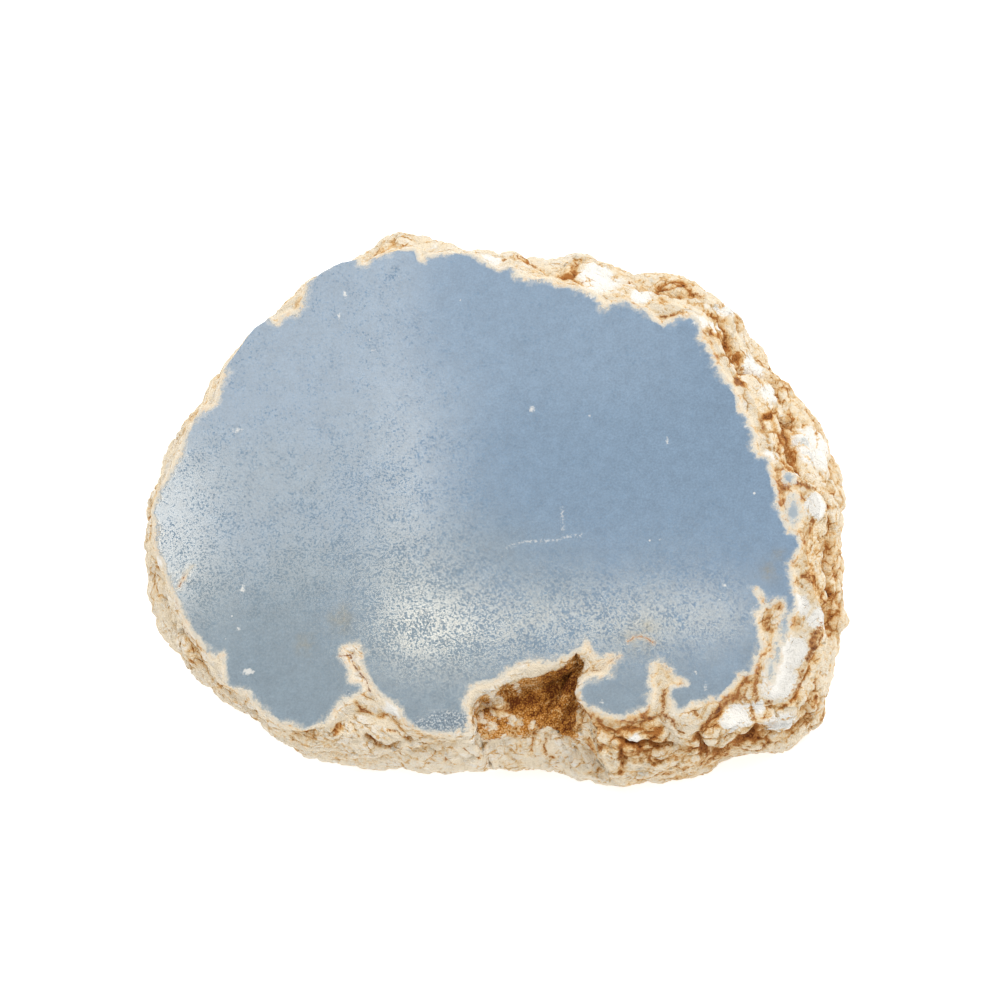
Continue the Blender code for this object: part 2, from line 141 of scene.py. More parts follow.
# Cracks and creases of the rind, stained with rust: the run of each as x, y and depth below the polished
# face, and half its width.
CRACKS: tuple[tuple[tuple[tuple[float, float, float], ...], float], ...] = (
    (((-27.8, -41.8, 0.0), (-27.6, -44.1, 1.4), (-29.2, -45.6, 2.8)), 0.4),
    (((-24.9, -43.4, 2.3), (-24.0, -44.8, 4.3), (-21.9, -45.4, 5.2), (-20.6, -46.5, 6.0),
      (-19.0, -47.2, 6.5)), 0.5),
    (((-18.2, -45.5, 2.0), (-16.3, -45.9, 1.7), (-14.8, -46.9, 3.8)), 0.4),
    (((-24.1, -39.8, 0.0), (-22.9, -41.4, 0.0), (-20.4, -42.9, 0.8), (-16.5, -43.6, 0.0)), 0.3),
    (((-14.6, -48.2, 6.3), (-11.9, -48.7, 5.4), (-10.0, -49.7, 6.3)), 0.3),
    (((-9.1, -49.6, 5.6), (-8.2, -50.3, 10.5), (-5.8, -50.6, 11.1)), 0.35),
    (((-4.2, -48.7, 5.3), (-3.4, -49.8, 7.2), (-2.2, -49.5, 8.8)), 0.35),
    (((2.3, -48.1, 12.7), (3.5, -47.1, 11.7), (5.2, -46.7, 11.3)), 0.3),
    (((8.3, -45.1, 10.0), (7.2, -46.9, 11.7), (6.7, -47.9, 12.7)), 0.4),
    (((10.2, -45.3, 10.8), (9.5, -47.6, 12.8), (10.4, -48.9, 14.1)), 0.6),
    (((13.4, -50.3, 14.4), (15.6, -51.3, 14.4), (17.8, -52.4, 15.0)), 0.35),
    (((15.7, -40.1, 8.2), (18.3, -43.6, 0.0), (19.4, -45.2, 0.0)), 0.35),
    (((18.2, -47.8, 10.1), (21.7, -49.9, 3.1), (23.9, -50.4, 3.1)), 0.3),
    (((20.9, -45.6, 0.0), (22.1, -47.1, 0.5), (23.7, -47.5, 0.6), (26.7, -47.5, 0.4), (28.8, -47.4, 1.1)
      ), 0.35),
    (((24.8, -47.7, 0.6), (25.4, -48.9, 1.8), (27.3, -49.7, 3.7), (29.2, -49.0, 4.6),
      (31.0, -49.5, 5.1), (32.7, -50.3, 5.7)), 0.35),
    (((25.2, -50.2, 2.7), (24.7, -51.6, 5.9), (23.9, -53.5, 8.9)), 0.6),
    (((24.7, -51.6, 5.9), (27.9, -52.6, 6.9)), 0.5),
    (((30.2, -51.9, 6.4), (31.9, -52.3, 7.4)), 0.3),
    (((31.1, -48.5, 4.4), (33.0, -48.5, 4.1)), 0.3),
    (((33.1, -40.7, 0.0), (33.2, -43.6, 0.0), (33.4, -45.3, 0.0), (35.0, -46.5, 0.0), (36.9, -48.3, 0.6)
      ), 0.5),
    (((30.3, -42.9, 0.0), (30.1, -45.1, 0.0), (31.7, -45.9, 0.3), (33.4, -45.3, 0.0)), 0.35),
    (((37.6, -48.7, 3.5), (39.2, -48.9, 5.9), (39.4, -49.9, 7.7), (40.7, -51.0, 10.5),
      (42.5, -49.8, 16.2)), 0.7),
    (((38.8, -48.2, 4.8), (40.5, -47.5, 0.0), (42.7, -45.7, 0.0), (44.5, -43.7, 0.0),
      (45.1, -42.6, 0.0), (47.3, -42.7, 0.0)), 0.6),
    (((47.3, -42.7, 0.0), (48.7, -43.9, 0.0), (49.3, -45.9, 1.3), (49.7, -46.7, 5.2)), 0.4),
    (((49.7, -46.7, 5.2), (48.2, -47.1, 7.1), (46.2, -48.2, 8.4), (45.0, -49.1, 11.8),
      (43.4, -50.1, 13.1)), 0.7),
    (((45.3, -48.9, 15.8), (48.5, -48.7, 15.8), (50.1, -48.5, 14.6), (49.3, -49.1, 8.3)), 0.4),
    (((51.1, -35.6, 0.0), (50.5, -37.8, 0.0), (50.4, -40.8, 0.0), (49.5, -43.0, 0.0)), 0.45),
    (((54.5, -32.0, 0.0), (54.1, -33.3, 0.0), (52.0, -35.1, 0.0), (51.1, -35.6, 0.0)), 0.3),
    (((62.2, -29.4, 0.0), (60.6, -32.1, 0.0), (60.6, -33.6, 0.0), (60.2, -35.5, 0.0),
      (59.7, -37.1, 1.0), (58.3, -40.1, 0.0), (56.9, -42.8, 0.3), (55.3, -43.9, 1.2)), 0.8),
    (((60.1, -39.1, 4.1), (60.4, -40.5, 5.9), (60.7, -41.9, 7.8), (59.8, -43.3, 10.7),
      (58.5, -44.7, 10.9)), 0.6),
    (((58.8, -20.2, 0.0), (60.6, -21.3, 0.0), (61.5, -22.4, 2.8), (62.5, -24.0, 4.2)), 0.35),
    (((63.6, -19.8, 5.4), (63.8, -22.9, 8.0), (63.7, -26.9, 7.5), (64.3, -28.9, 8.5)), 0.4),
    (((51.8, -43.5, 0.0), (53.6, -43.2, 0.0), (52.6, -44.3, 0.8), (51.0, -46.3, 2.1)), 0.3),
    (((55.4, 7.2, 1.5), (55.6, 3.1, 0.4), (57.4, 1.2, 1.0)), 0.4),
    (((54.9, 0.4, 0.0), (57.4, 0.4, 0.4), (59.3, -1.4, 0.0), (59.6, -2.6, 0.0)), 0.25),
    (((57.8, -2.3, 0.0), (60.0, -2.4, 0.0), (61.2, -3.6, 0.0), (62.7, -4.6, 3.4), (63.3, -6.1, 6.9)), 0.4),
    (((61.4, -9.5, 0.0), (60.7, -11.3, 0.0), (59.7, -13.8, 0.0)), 0.4),
    (((52.1, 11.0, 0.0), (53.9, 12.3, 1.6), (54.9, 13.1, 2.4)), 0.45),
    (((48.0, 22.0, 2.3), (49.7, 22.2, 4.3), (50.9, 20.7, 4.2)), 0.5),
    (((51.4, 19.5, 3.6), (53.0, 16.8, 1.9), (54.7, 15.7, 4.8), (56.0, 14.8, 4.7), (56.8, 12.9, 3.9)), 0.4),
    (((45.0, 29.9, 3.5), (45.9, 26.7, 3.3), (46.7, 24.3, 2.2)), 0.35),
    (((39.2, 35.8, 2.1), (41.2, 34.3, 1.0), (43.0, 32.9, 1.6), (44.3, 31.2, 3.1)), 0.35),
    (((33.7, 40.1, 4.9), (35.5, 39.0, 4.3), (38.0, 39.8, 4.8), (39.9, 37.5, 4.4), (41.3, 37.2, 5.4)), 0.6),
    (((33.7, 31.8, 0.0), (36.6, 32.2, 0.0)), 0.3),
    (((3.4, 46.8, 1.8), (4.8, 47.6, 3.5), (6.7, 48.8, 7.1), (8.7, 47.5, 7.1), (12.5, 43.8, 1.9),
      (13.5, 45.2, 2.6)), 0.5),
    (((15.2, 42.1, 0.8), (16.4, 43.8, 1.6), (17.5, 46.6, 4.7), (18.5, 47.6, 5.3)), 0.6),
    (((17.5, 41.0, 0.6), (18.8, 40.6, 0.7), (20.3, 41.2, 1.4), (22.1, 40.1, 1.7)), 0.4),
    (((24.9, 40.8, 3.8), (26.5, 40.4, 4.3), (28.4, 41.7, 4.8), (28.7, 43.0, 5.4)), 0.5),
    (((47.8, 20.3, 0.8), (47.8, 17.6, 0.0)), 0.35),
    (((44.9, 24.2, 0.0), (46.3, 23.5, 1.0), (46.8, 21.5, 0.0)), 0.35),
)

# Where the blue stone meets the cream rind on the polished face, clockwise from the upper left.
BLUE_EDGE: Run = (
    (-35.3, 39.0), (-34.7, 41.6), (-34.2, 43.9), (-32.1, 45.8), (-29.5, 47.3), (-27.6, 48.8),
    (-24.8, 48.9), (-24.6, 46.7), (-23.0, 46.2), (-21.5, 47.5), (-17.4, 49.1), (-13.6, 48.8),
    (-12.8, 46.5), (-11.5, 46.0), (-11.1, 47.2), (-5.6, 47.8), (-2.7, 47.2), (1.2, 44.2),
    (3.1, 43.3), (5.5, 44.3), (6.0, 42.0), (8.0, 41.3), (12.4, 40.6), (13.9, 39.4), (17.6, 39.0),
    (21.2, 36.9), (22.3, 35.4), (21.9, 34.0), (25.8, 35.4), (27.3, 35.6), (28.8, 34.3),
    (30.9, 33.4), (32.2, 31.5), (34.4, 29.9), (36.4, 31.2), (39.4, 31.6), (41.1, 30.1),
    (40.8, 27.3), (42.1, 25.8), (44.8, 20.0), (46.7, 17.1), (47.6, 15.1), (47.9, 12.1),
    (49.2, 11.2), (50.8, 7.2), (50.3, 5.2), (51.4, 3.0), (53.4, 2.7), (53.4, 0.3), (54.6, -4.6),
    (54.7, -7.1), (56.8, -12.1), (58.4, -12.7), (58.6, -14.5), (56.6, -18.2), (57.2, -23.4),
    (57.7, -25.9), (56.4, -28.3), (56.1, -30.6), (55.4, -32.8), (55.0, -30.5), (55.3, -28.2),
    (56.1, -26.4), (55.9, -24.5), (54.1, -24.4), (52.8, -25.6), (51.7, -22.9), (50.9, -21.9),
    (49.9, -22.2), (50.3, -23.4), (51.2, -24.4), (51.3, -25.8), (50.0, -26.8), (50.0, -28.5),
    (50.7, -30.3), (50.8, -32.2), (51.5, -33.4), (50.6, -34.6), (49.4, -38.0), (47.0, -38.4),
    (46.1, -39.9), (43.3, -42.6), (40.9, -43.0), (38.2, -43.1), (37.1, -44.5), (36.0, -44.6),
    (34.7, -42.1), (34.9, -40.5), (38.0, -40.2), (37.9, -39.3), (36.1, -38.1), (33.0, -35.2),
    (32.1, -34.6), (31.3, -35.7), (30.3, -39.1), (30.9, -40.6), (30.5, -42.9), (29.4, -43.9),
    (25.7, -45.3), (21.6, -44.1), (19.8, -43.1), (18.3, -41.5), (18.0, -40.0), (19.8, -38.0),
    (23.7, -37.8), (23.9, -36.1), (25.6, -33.7), (24.0, -33.3), (21.7, -33.9), (20.6, -32.9),
    (19.3, -30.0), (18.4, -31.5), (15.4, -33.2), (12.1, -34.2), (8.4, -33.6), (4.6, -35.1),
    (2.6, -37.0), (-0.6, -37.4), (-2.8, -38.6), (-4.0, -41.8), (-2.9, -44.2), (-3.0, -46.4),
    (-7.1, -46.7), (-11.8, -45.9), (-14.1, -44.5), (-16.0, -41.0), (-19.4, -38.7), (-21.3, -35.4),
    (-22.8, -32.2), (-22.3, -30.7), (-24.0, -28.5), (-25.5, -28.8), (-26.9, -29.7), (-27.0, -31.4),
    (-25.5, -33.6), (-25.4, -36.3), (-23.0, -37.0), (-23.2, -38.0), (-27.3, -40.3), (-29.0, -42.5),
    (-29.7, -43.8), (-33.3, -44.9), (-35.2, -43.9), (-38.2, -43.0), (-40.7, -41.5), (-43.7, -37.9),
    (-44.1, -36.9), (-46.9, -36.4), (-48.3, -35.6), (-48.8, -30.9), (-49.2, -29.3), (-51.3, -30.0),
    (-53.9, -26.4), (-56.3, -23.1), (-57.6, -19.9), (-60.0, -15.1), (-61.2, -10.7), (-62.6, -8.6),
    (-62.8, -2.6), (-63.6, -1.2), (-62.7, 2.0), (-62.5, 3.4), (-61.0, 4.9), (-58.2, 10.8),
    (-57.4, 14.1), (-54.7, 19.0), (-52.8, 18.9), (-51.6, 19.8), (-50.7, 23.9), (-50.0, 26.5),
    (-51.0, 29.0), (-48.8, 32.5), (-45.5, 35.5), (-43.5, 36.7), (-42.3, 36.6), (-41.3, 35.7),
    (-39.9, 35.2), (-39.4, 36.8), (-37.8, 37.5), (-36.4, 37.2),
)

# Islands of blue in the cream: x, y, and half sizes along X and Y.
BLUE_ISLANDS: tuple[tuple[float, float, float, float], ...] = (
    (57.8, -7.8, 1.0, 2.2), (57.2, -1.2, 0.8, 1.0), (53.0, -38.0, 0.45, 1.3), (54.2, -35.2, 0.4, 1.3),
)

# Rust-brown veins in the polished face: the run of each and half its width.
VEINS: tuple[tuple[Run, float], ...] = (
    (((-27.0, -31.2), (-25.1, -31.1), (-24.5, -30.6)), 0.14),
    (((-25.1, -31.1), (-24.7, -32.7), (-23.6, -34.3), (-22.0, -36.1), (-21.3, -38.4)), 0.12),
    (((19.9, -36.3), (21.7, -36.2), (23.9, -34.6), (25.6, -33.9)), 0.06),
    (((-57.3, -14.0), (-58.2, -16.0)), 0.1),
    (((-58.7, -18.7), (-58.7, -21.6), (-57.9, -23.0), (-56.0, -26.4)), 0.05),
    (((26.9, -31.3), (28.0, -30.5), (29.4, -30.4), (30.6, -30.9), (31.7, -31.8)), 0.13),
)

# Soft cream inclusions in the blue: a run of places and the half width.
CREAM_THREADS: tuple[tuple[Run, float], ...] = (
    (((-56.2, -12.3), (-57.2, -14.4), (-58.5, -16.3)), 0.45),
)

# White marks in the blue: x, y, and half sizes along X and Y.
MARKS: tuple[tuple[float, float, float, float], ...] = (
    (-27.1, 40.9, 0.45, 0.75), (-28.2, 36.5, 0.3, 0.6), (-47.8, 14.5, 1.1, 0.4), (-44.5, -33.4, 1.3, 0.7),
    (-45.9, -17.2, 0.5, 0.8), (-46.6, -25.0, 0.5, 0.4), (39.2, -37.8, 0.4, 0.3), (41.1, -40.6, 0.25, 0.8),
    (22.0, -42.6, 0.35, 0.6), (9.2, 15.1, 0.6, 0.7), (34.7, 7.2, 0.3, 0.9), (49.6, 9.2, 0.9, 0.3),
    (40.2, 30.2, 0.6, 0.5), (20.8, 37.2, 0.7, 0.7), (44.8, -21.5, 0.4, 0.4), (-33.6, 32.1, 0.25, 0.2),
    (-22.2, 31.1, 0.2, 0.2), (-21.3, 29.0, 0.3, 0.25), (-16.5, 43.9, 0.3, 0.15), (-7.9, 29.6, 0.2, 0.2),
    (20.2, 13.2, 0.2, 0.25), (41.2, 23.8, 0.2, 0.2), (29.6, 1.8, 0.15, 0.2), (24.1, 20.0, 0.2, 0.2),
    (-4.6, 38.1, 0.2, 0.2), (33.1, -12.1, 0.2, 0.15), (44.0, -24.2, 0.2, 0.2), (-35.0, -12.1, 0.2, 0.2),
)

# Fine scratches across the polish: the run of each, where its dashes come and go.
SCRATCHES: tuple[Run, ...] = (
    ((4.6, -12.0), (6.5, -11.1), (9.4, -10.9), (12.9, -11.1), (15.6, -10.5), (18.6, -10.3)),
    ((14.8, -4.8), (15.0, -9.1)),
    ((50.8, -25.0), (49.6, -27.2)),
)

# Olive and rust clouds in the blue: x, y and radius.
CLOUDS: tuple[tuple[float, float, float], ...] = (
    (29.5, -30.0, 5.5), (53.3, -19.5, 3.2), (-27.1, -24.0, 4.0), (-33.5, -28.0, 3.0), (54.5, -16.0, 2.0),
)

# Ground that the polish never reached: x, y, and half sizes along X and Y.
PITTED: tuple[tuple[float, float, float, float], ...] = (
    (-7.0, -44.8, 6.5, 1.9), (-2.6, -44.9, 1.6, 1.6), (-25.5, -38.6, 1.0, 0.6),
)

# Patches of the rind as x, y, depth below the polished face and radius: rust stains, white gypsum, and
# grey-blue stone that shows through.
STAINS: tuple[Patch, ...] = (
    (37.3, -50.4, 5.6, 1.9), (15.6, 43.3, 1.4, 2.3), (37.4, 40.4, 5.0, 2.3), (53.5, 12.2, 1.4, 1.5),
    (48.2, 24.2, 3.8, 1.5), (60.2, -20.7, 0.0, 1.5), (60.3, -17.4, 0.1, 1.1), (63.9, -12.0, 5.9, 1.5),
    (61.0, -35.2, 1.3, 1.5), (57.3, -42.4, 0.4, 1.5), (60.3, -42.9, 8.2, 1.3), (47.8, -47.9, 7.7, 1.9),
    (42.5, -49.8, 11.6, 1.9), (26.1, -50.9, 4.4, 2.3), (31.4, -47.3, 2.0, 1.9), (42.9, -45.3, 0.0, 1.3),
    (20.3, 40.5, 1.3, 1.5), (48.6, 18.4, 0.1, 1.1), (7.0, 47.2, 5.4, 1.3), (-8.0, 50.5, 2.1, 1.5),
    (-27.9, -44.5, 2.0, 1.5), (56.4, 7.0, 2.8, 1.5), (62.5, -7.8, 6.6, 1.1), (64.4, -27.7, 8.2, 1.1),
    (-35.9, 40.3, 0.0, 1.5), (-63.2, -17.1, 4.5, 1.1), (-59.3, -24.8, 5.7, 1.1), (62.8, -23.8, 4.8, 0.9),
)
WHITES: tuple[Patch, ...] = (
    (22.0, 42.2, 2.2, 4.1), (46.0, 34.6, 5.4, 2.3), (50.9, 22.9, 4.8, 2.6), (53.5, 16.4, 2.7, 2.0),
    (61.7, 6.6, 5.5, 4.6), (57.4, -0.7, 0.0, 1.8), (61.9, -7.0, 0.0, 2.3), (58.1, -25.9, 0.0, 2.0),
    (57.1, -34.4, 0.0, 3.1), (54.6, -39.9, 0.0, 3.6), (46.2, -45.8, 0.9, 3.6), (53.4, -47.6, 6.2, 4.1),
    (62.2, -28.6, 0.0, 2.0), (29.8, 37.1, 1.1, 2.0), (43.9, 30.2, 1.5, 1.2), (1.0, 46.7, 0.9, 1.5),
    (-16.9, -42.2, 0.0, 1.9), (-62.1, -10.6, 0.0, 1.2), (53.8, 3.2, 0.0, 1.5), (41.3, 30.4, 0.0, 1.5),
    (50.3, -44.3, 0.4, 1.5), (27.1, -48.8, 2.5, 1.5),
)
GREYS: tuple[Patch, ...] = (
    (22.0, 43.9, 2.9, 0.8), (31.6, 42.0, 5.4, 0.9), (47.7, 32.9, 6.6, 1.1), (60.2, 7.3, 4.3, 1.5),
    (57.4, -1.1, 0.0, 1.3), (57.8, -7.7, 0.0, 2.2), (53.2, -37.4, 0.0, 1.5), (54.0, -35.2, 0.0, 1.3),
    (44.5, -47.1, 2.7, 1.1), (53.7, -47.9, 6.5, 1.9), (16.8, -47.3, 10.9, 1.1), (56.0, -30.2, 0.0, 0.8),
    (27.4, -53.8, 10.6, 1.5),
)

# How rusty the rind is round the slab, from 0 to 1, at degrees anticlockwise from +X.
RUST_ROUND: Run = (
    (0, 0.4), (20, 0.35), (40, 0.3), (60, 0.15), (80, 0.1), (100, 0.1), (120, 0.1), (150, 0.15),
    (180, 0.1), (210, 0.1), (235, 0.15), (262, 0.12), (285, 0.1), (297, 0.25), (310, 0.4), (325, 0.35),
    (345, 0.45),
)


def linear(colour: str) -> tuple[float, float, float, float]:
    """Turn an sRGB hex colour into linear light.

    Args:
        colour: Six hex digits after a hash sign.

    Returns:
        Red, green, blue and an alpha of 1.
    """
    shares = (int(colour[start:start + 2], 16) / 255.0 for start in (1, 3, 5))
    red, green, blue = (s / 12.92 if s <= 0.04045 else ((s + 0.055) / 1.055) ** 2.4 for s in shares)
    return red, green, blue, 1.0


def eased(share: Array) -> Array:
    """Ease 0 to 1 in and out: three times the square, less twice the cube."""
    share = np.clip(share, 0.0, 1.0)
    return share * share * (3.0 - 2.0 * share)


def unpredictable(cell: Array, seed: int) -> Array:
    """Give each whole-number cell a fixed number that looks random, by mixing the bits of x, y and z.

    Args:
        cell: Cells, with x, y, z along the last axis.
        seed: Which set of numbers to give.

    Returns:
        Numbers from 0 to 1.
    """
    mixed = cell.astype(np.int64) * np.array((73856093, 19349663, 83492791))
    mixed = (mixed[..., 0] ^ mixed[..., 1] ^ mixed[..., 2]) + seed * 1013904223
    mixed = ((mixed >> 13) ^ mixed) * 60493
    mixed = ((mixed >> 11) ^ mixed) * 19990303
    return ((mixed >> 7) & 0xFFFFF) / float(0xFFFFF)


def smooth_noise(places: Array, spacing: float, seed: int) -> Array:
    """Soft noise: random values on a lattice, blended by the eased distances to its eight corners.

    Args:
        places: Places, with x, y, z in millimetres along the last axis.
        spacing: The lattice's spacing in millimetres.
        seed: Which noise to give.

    Returns:
        Noise from -1 to 1.
    """
    scaled = places / spacing
    corner = np.floor(scaled)
    share = eased(scaled - corner)
    total = np.zeros(places.shape[:-1])
    for offset in np.ndindex(2, 2, 2):
        weight = np.prod(np.where(np.array(offset) == 1, share, 1.0 - share), axis=-1)
        total += weight * unpredictable(corner + np.array(offset), seed)
    return total * 2.0 - 1.0


def cells(places: Array, spacing: Spot, seed: int) -> tuple[Array, Array]:
    """Distances to the nearest and the next nearest of random seeds, one in each cell, both at most 1.

    Args:
        places: Places, with x, y, z in millimetres along the last axis.
        spacing: The cells' size across X and Y, and down Z.
        seed: Which seeds to give.

    Returns:
        The two distances, in cells.
    """
    along, down = spacing
    scaled = places / np.array((along, along, down))
    corner = np.floor(scaled)
    nearest = np.ones(places.shape[:-1])
    second = np.ones(places.shape[:-1])
    for offset in np.ndindex(3, 3, 3):
        cell = corner + np.array(offset) - 1.0
        jitter = np.stack([unpredictable(cell, seed + axis) for axis in (1, 2, 3)], axis=-1)
        apart = np.linalg.norm(cell + jitter - scaled, axis=-1)
        second = np.minimum(second, np.maximum(nearest, apart))
        nearest = np.minimum(nearest, apart)
    return nearest, second


def to_stretches(places: Array, run: Array, outward: Array | None = None) -> Array:
    """Distance from places to the nearest of a run's straight stretches.

    Args:
        places: Places, with two or more coordinates along the last axis.
        run: The run's corners, one per row.
        outward: A unit direction for each place, along which only a quarter of the gap counts.

    Returns:
        The distance of each place.
    """
    nearest = np.full(places.shape[:-1], 1e9)
    for start, end in zip(run, run[1:]):
        step = end - start
        share = np.clip((places - start) @ step / max(step @ step, 1e-12), 0.0, 1.0)
        gap = places - start - share[..., None] * step
        if outward is not None:
            gap -= 0.75 * (gap * outward).sum(-1, keepdims=True) * outward
        nearest = np.minimum(nearest, np.linalg.norm(gap, axis=-1))
    return nearest


def inside_outline(places: Array, outline: Array) -> Array:
    """Signed distance from a closed outline: plus inside it, where a ray along X crosses it an odd number of times.

    Args:
        places: Places, one x, y per row.
        outline: The outline's corners, one x, y per row.

    Returns:
        The distance of each place, minus where it is outside.
    """
    following = np.roll(outline, -1, axis=0)
    crossings = np.zeros(len(places), int)
    for start, end in zip(outline, following):
        spans = (start[1] > places[:, 1]) != (end[1] > places[:, 1])
        rise = end[1] - start[1] if end[1] != start[1] else 1e-9
        crossings += spans & (places[:, 0] < start[0] + (places[:, 1] - start[1]) / rise * (end[0] - start[0]))
    away = to_stretches(places, np.concatenate([outline, outline[:1]]))
    return np.where(crossings % 2 == 1, away, -away)


def within_ovals(places: Array, ovals: tuple[tuple[float, ...], ...]) -> Array:
    """How far places lie inside the nearest of some ovals, in millimetres, minus outside all of them.

    Args:
        places: Places, one x, y per row.
        ovals: Each one's x, y and half sizes, or x, y and radius.

    Returns:
        For each place, the most of (1 less its distance in half sizes) times the smaller half size.
    """
    depths = []
    for x, y, *half in ovals:
        across, along = half[0], half[-1]
        reach = np.hypot((places[:, 0] - x) / across, (places[:, 1] - y) / along)
        depths.append((1.0 - reach) * min(across, along))
    return np.max(depths, axis=0)


def hexagonal(spacing: float, low: Spot, high: Spot) -> Array:
    """Points in staggered rows: each row stands off by 0.866 of the spacing and is shifted by half of it."""
    rows = np.arange(low[1], high[1], spacing * 0.866)
    steps = np.arange(low[0], high[0], spacing)
    x, y = np.meshgrid(steps, rows)
    x = x + 0.5 * spacing * (np.arange(len(rows)) % 2)[:, None]
    return np.stack([x.ravel(), y.ravel()], axis=-1)


@dataclass(frozen=True)
class SlabForm:
    """The slab's rough side wall, as a grid of columns round it and rows down it, in millimetres.

    Each column starts on the edge of the polished face, swells to the slab's waist and tucks in to the
    sawn back. In the vug it first drops down the vug's wall and runs out over its floor.
    """

    thickness: float = 24.0
    waist_depth: float = 12.0
    back_tuck: float = 2.5
    vug_lip_depth: float = 8.5
    vug_lip_inset: float = 0.2
    vug_wall_foot: float = 0.42
    vug_lip: float = 0.66
    vug_gather: float = 0.1
    vug_blend: float = 4.0
    vug_relief: float = 1.0
    vug_raggedness: float = 0.45
    vug_softening: int = 14
    lump_spacing: Spot = (10.5, 6.0)
    lump_height: float = 2.6
    small_lump_spacing: Spot = (5.2, 3.0)
    small_lump_height: float = 1.0
    crumb_spacing: Spot = (2.3, 1.3)
    crumb_height: float = 0.45
    seam_depth: float = 0.45
    seam_width: float = 0.2
    furrow_depth: float = 1.6
    furrow_width: float = 1.1
    crack_depth: float = 0.45
    edge_share: float = 0.25
    edge_fade: float = 2.5
    rounding: float = 1.0
    columns: int = 1200
    rows: int = 64
    row_crowding: float = 1.25
    trace_steps: int = 8192

    def rounded(self, line: Array, run: int) -> Array:
        """Round a closed line's corners by a running mean over that many points, weighted by a raised cosine."""
        weights = np.hanning(run + 2)
        weights /= weights.sum()
        padded = np.concatenate([line[-run:], line, line[:run]])
        return np.stack([np.convolve(column, weights, "same") for column in padded.T], axis=-1)[run:-run]

    def evenly_spaced(self, line: Array, count: int) -> Array:
        """Pick that many points along a closed line, at steps that are even in its first two coordinates."""
        closed = np.concatenate([line, line[:1]])
        steps = np.linalg.norm(np.diff(closed[:, :2], axis=0), axis=-1)
        along = np.concatenate([[0.0], np.cumsum(steps)])
        wanted = np.linspace(0.0, along[-1], count, endpoint=False)
        return np.stack([np.interp(wanted, along, column) for column in closed.T], axis=-1)

    def outlines(self) -> tuple[Array, Array, Array]:
        """Trace the columns' tops.

        Returns:
            The face's edge with the vug bitten out, the edge straight past the vug, and the depth of
            the vug's wall, one row for each column.
        """
        left, right = np.array(FACE_EDGE[-1]), np.array(VUG_RIGHT_FOOT)
        share = np.arange(1, len(VUG_RIM) + 1) / (len(VUG_RIM) + 1)
        share = share + self.vug_gather * np.sin(2.0 * math.pi * share)
        past = left + share[:, None] * (right - left)
        rim = np.array(FACE_EDGE + tuple(spot[:2] for spot in VUG_RIM))
        outside = np.concatenate([FACE_EDGE, past])
        wall = np.concatenate([np.zeros(len(FACE_EDGE)), [spot[2] for spot in VUG_RIM]])
        fine = self.evenly_spaced(np.concatenate([rim, outside, wall[:, None]], axis=-1), self.trace_steps)
        run = round(self.rounding / np.linalg.norm(np.diff(rim, axis=0), axis=-1).sum() * self.trace_steps)
        columns = self.evenly_spaced(self.rounded(fine, run), self.columns)
        return columns[:, :2], columns[:, 2:4], columns[:, 4:]

    def waist_points(self, outside: Array) -> Array:
        """Place the widest outline's points in line with the centre and the face's edge, at WAIST's radius."""
        angle = np.arctan2(outside[:, 1], outside[:, 0])
        degrees, radius = np.array(WAIST).T
        reach = np.interp(np.degrees(angle), degrees, radius, period=360.0)
        return np.stack([reach * np.cos(angle), reach * np.sin(angle)], axis=-1)

    def bare_side(self) -> tuple[Array, Array]:
        """Work out the side wall without its relief.

        A plain column's outward share is the sine of its depth up to the waist, and its tuck is the
        square of the depth below the waist. In the vug the place slides from the rim to the outside.

        Returns:
            Places as columns, rows and x, y, z, and how far each place is in the vug, from 0 to 1.
        """
        rim, outside, wall = self.outlines()
        waist = self.waist_points(outside)
        row = np.linspace(0.0, 1.0, self.rows + 1)[None, :] ** self.row_crowding
        in_vug = eased(np.linalg.norm(rim - outside, axis=-1) / self.vug_blend)[:, None]
        level = np.column_stack([rim, np.zeros(self.columns)])
        ragged = np.stack([smooth_noise(level, 1.5, seed) for seed in (71, 72)], axis=-1)
        bite = rim - outside + self.vug_raggedness * in_vug * ragged

        wall_row = np.clip(row / self.vug_wall_foot, 0.0, 1.0)
        floor_row = np.clip((row - self.vug_wall_foot) / (self.vug_lip - self.vug_wall_foot), 0.0, 1.0)
        lower_row = np.clip((row - self.vug_lip) / (1.0 - self.vug_lip), 0.0, 1.0)
        vug_depth = wall * wall_row + (self.vug_lip_depth - wall) * floor_row
        vug_depth = vug_depth + (self.thickness - self.vug_lip_depth) * lower_row
        depth = self.thickness * row * (1.0 - in_vug) + vug_depth * in_vug

        swell = np.sin(0.5 * math.pi * np.clip(depth / self.waist_depth, 0.0, 1.0))
        below_waist = (depth - self.waist_depth) / (self.thickness - self.waist_depth)
        tuck = self.back_tuck * np.clip(below_waist, 0.0, 1.0) ** 2
        outward = outside / np.linalg.norm(outside, axis=-1, keepdims=True)
        reached = (waist - outside)[:, None, :] * swell[..., None] - outward[:, None, :] * tuck[..., None]

        lip = self.vug_lip_inset
        held = 1.0 - (1.0 - lip) * eased(floor_row) - lip * eased(2.0 * lower_row)
        swelled = 1.0 - in_vug[..., None] * (1.0 - eased(2.0 * lower_row))[..., None]
        softer = (eased(floor_row) * in_vug)[..., None]
        bitten = bite[:, None, :] * (1.0 - softer) + self.rounded(bite, self.vug_softening)[:, None, :] * softer
        flat = outside[:, None, :] + bitten * held[..., None] + reached * swelled
        side = np.concatenate([flat, (self.thickness - depth)[..., None]], axis=-1)
        return side, in_vug * (1.0 - eased((row - 0.8 * self.vug_lip) / (0.35 * self.vug_lip)))

